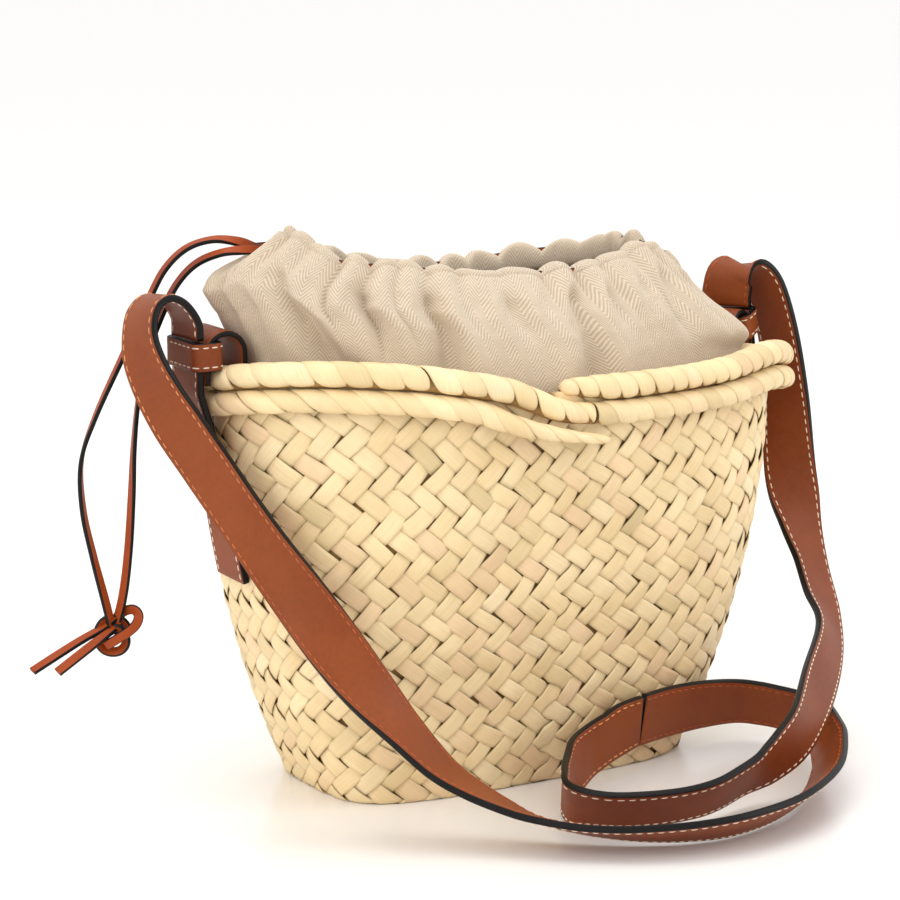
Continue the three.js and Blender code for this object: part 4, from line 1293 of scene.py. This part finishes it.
def linen_hem(name, node, start, stop):
    """The folded casing: up the outside, over the top and down the inside, puffed between the gathers."""
    angles = np.linspace(start, stop, 420)
    turns = np.linspace(-90, 270, 29)
    turn_grid, angle_grid = np.meshgrid(np.radians(turns), angles, indexing="ij")
    outer = hem_outer(angle_grid)
    inner = 3.0 + 1.4 * np.clip(small_gathers(angle_grid + 4.0) + 0.25, -0.2, None)
    rise = np.clip(0.5 + 0.5 * np.sin(turn_grid), 0, 1)
    side = np.cos(turn_grid)
    out = np.where(side > 0, outer, inner) * np.sign(side) * np.abs(side) ** 0.6
    foot = hem_rise(angle_grid) - HEM["depth"]
    top = hem_rise(angle_grid) + hem_crest(angle_grid)
    z = foot + rise * (top - foot)
    x, y = superellipse(HEM["half_x"] + out, HEM["half_y"] + out, 2.0, angle_grid)
    points = np.stack([x + HEM["x"], y, z], -1)
    uv = np.stack([angle_grid / 360 * 560.0, 58 + (np.degrees(turn_grid) + 90) / 180 * 12], -1)
    build = Build()
    build.grid(points, uv, hoop_u=False)
    piece = build.piece(name, [LINEN])
    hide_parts(node)
    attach(piece, "bag")
    return piece


CASING_GAP = 13.5
TURN_OUT = [(7.5, 3), (4, 3), (1.2, 3.3), (-1, 4.4)]


def lace_in_hem(side, end_angle, below):
    """A lace runs round inside the casing, and both its ends leave by the slot at its own end."""
    outwards = math.cos(math.radians(end_angle))
    tip_x, tip_z = HEM["half_x"] * outwards + HEM["x"], float(hem_top(end_angle)) - below
    around = end_angle + np.linspace(CASING_GAP, 360 - CASING_GAP, 241)
    from_slot = np.minimum(around - around[0], around[-1] - around)
    x, y = superellipse(HEM["half_x"], HEM["half_y"], 2.0, around)
    z = hem_top(around) - below + (hem_rise(around) - hem_top(around)) * smoothstep(from_slot, 0, 22)
    ring = np.stack([x + HEM["x"], y, z], 1)
    first = np.sign(ring[0, 1])
    way_out = [[tip_x + out * outwards, first * off, tip_z] for out, off in TURN_OUT]
    way_back = [[x, -y, z] for x, y, z in reversed(way_out)]
    route = np.concatenate([way_out, ring, way_back])
    upright = np.broadcast_to([0.0, 0.0, 1.0], route.shape)
    piece = lace_piece(f"{side}_lace_in_casing", resample(np.concatenate([route, upright], 1), 2.0), "bag")
    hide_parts(f"{side}_lace_in_hem")


lace_in_hem("left", 180, 3.6)
lace_in_hem("right", 0, 8.2)
linen_neck()
linen_hem("linen_hem_front", "neck_hem_front", 194, 346)
linen_hem("linen_hem_back", "neck_hem_back", 14, 166)
liner_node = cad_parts["liner_bag"]
liner_node.data.materials.clear()
liner_node.data.materials.append(LINEN)

# ---------------------------------------------------------------- floor and light

floor = make_piece(
    "floor",
    [[-6000, -6000, 0], [6000, -6000, 0], [6000, 6000, 0], [-6000, 6000, 0]],
    [[0, 1, 2, 3]],
    [],
)
floor_material, _, _, floor_shader = new_material("floor_white")
floor_shader.inputs["Base Color"].default_value = (0.93, 0.91, 0.88, 1)
floor_shader.inputs["Roughness"].default_value = 0.24
floor_shader.inputs["Specular IOR Level"].default_value = 0.5
floor.data.materials.append(floor_material)

world = bpy.data.worlds.new("studio")
bpy.context.scene.world = world
world.use_nodes = True
world.node_tree.nodes["Background"].inputs[0].default_value = (1, 1, 1, 1)
world.node_tree.nodes["Background"].inputs[1].default_value = 1.02


def area_light(name, place, aim, size, power):
    data = bpy.data.lights.new(name, "AREA")
    data.shape = "RECTANGLE"
    data.size, data.size_y = size
    data.energy = power
    light = bpy.data.objects.new(name, data)
    bpy.context.scene.collection.objects.link(light)
    light.location = place
    light.rotation_mode = "QUATERNION"
    light.rotation_quaternion = (Vector(aim) - Vector(place)).to_track_quat("-Z", "Y")


area_light("left_softbox", (-1.5, -0.5, 0.9), (0, 0, 0.12), (0.9, 1.1), 9)
area_light("right_softbox", (1.3, -1.0, 0.9), (0, 0, 0.12), (0.9, 1.1), 6)
area_light("top_softbox", (0.0, 0.1, 1.6), (0, 0, 0.1), (1.2, 1.2), 8)
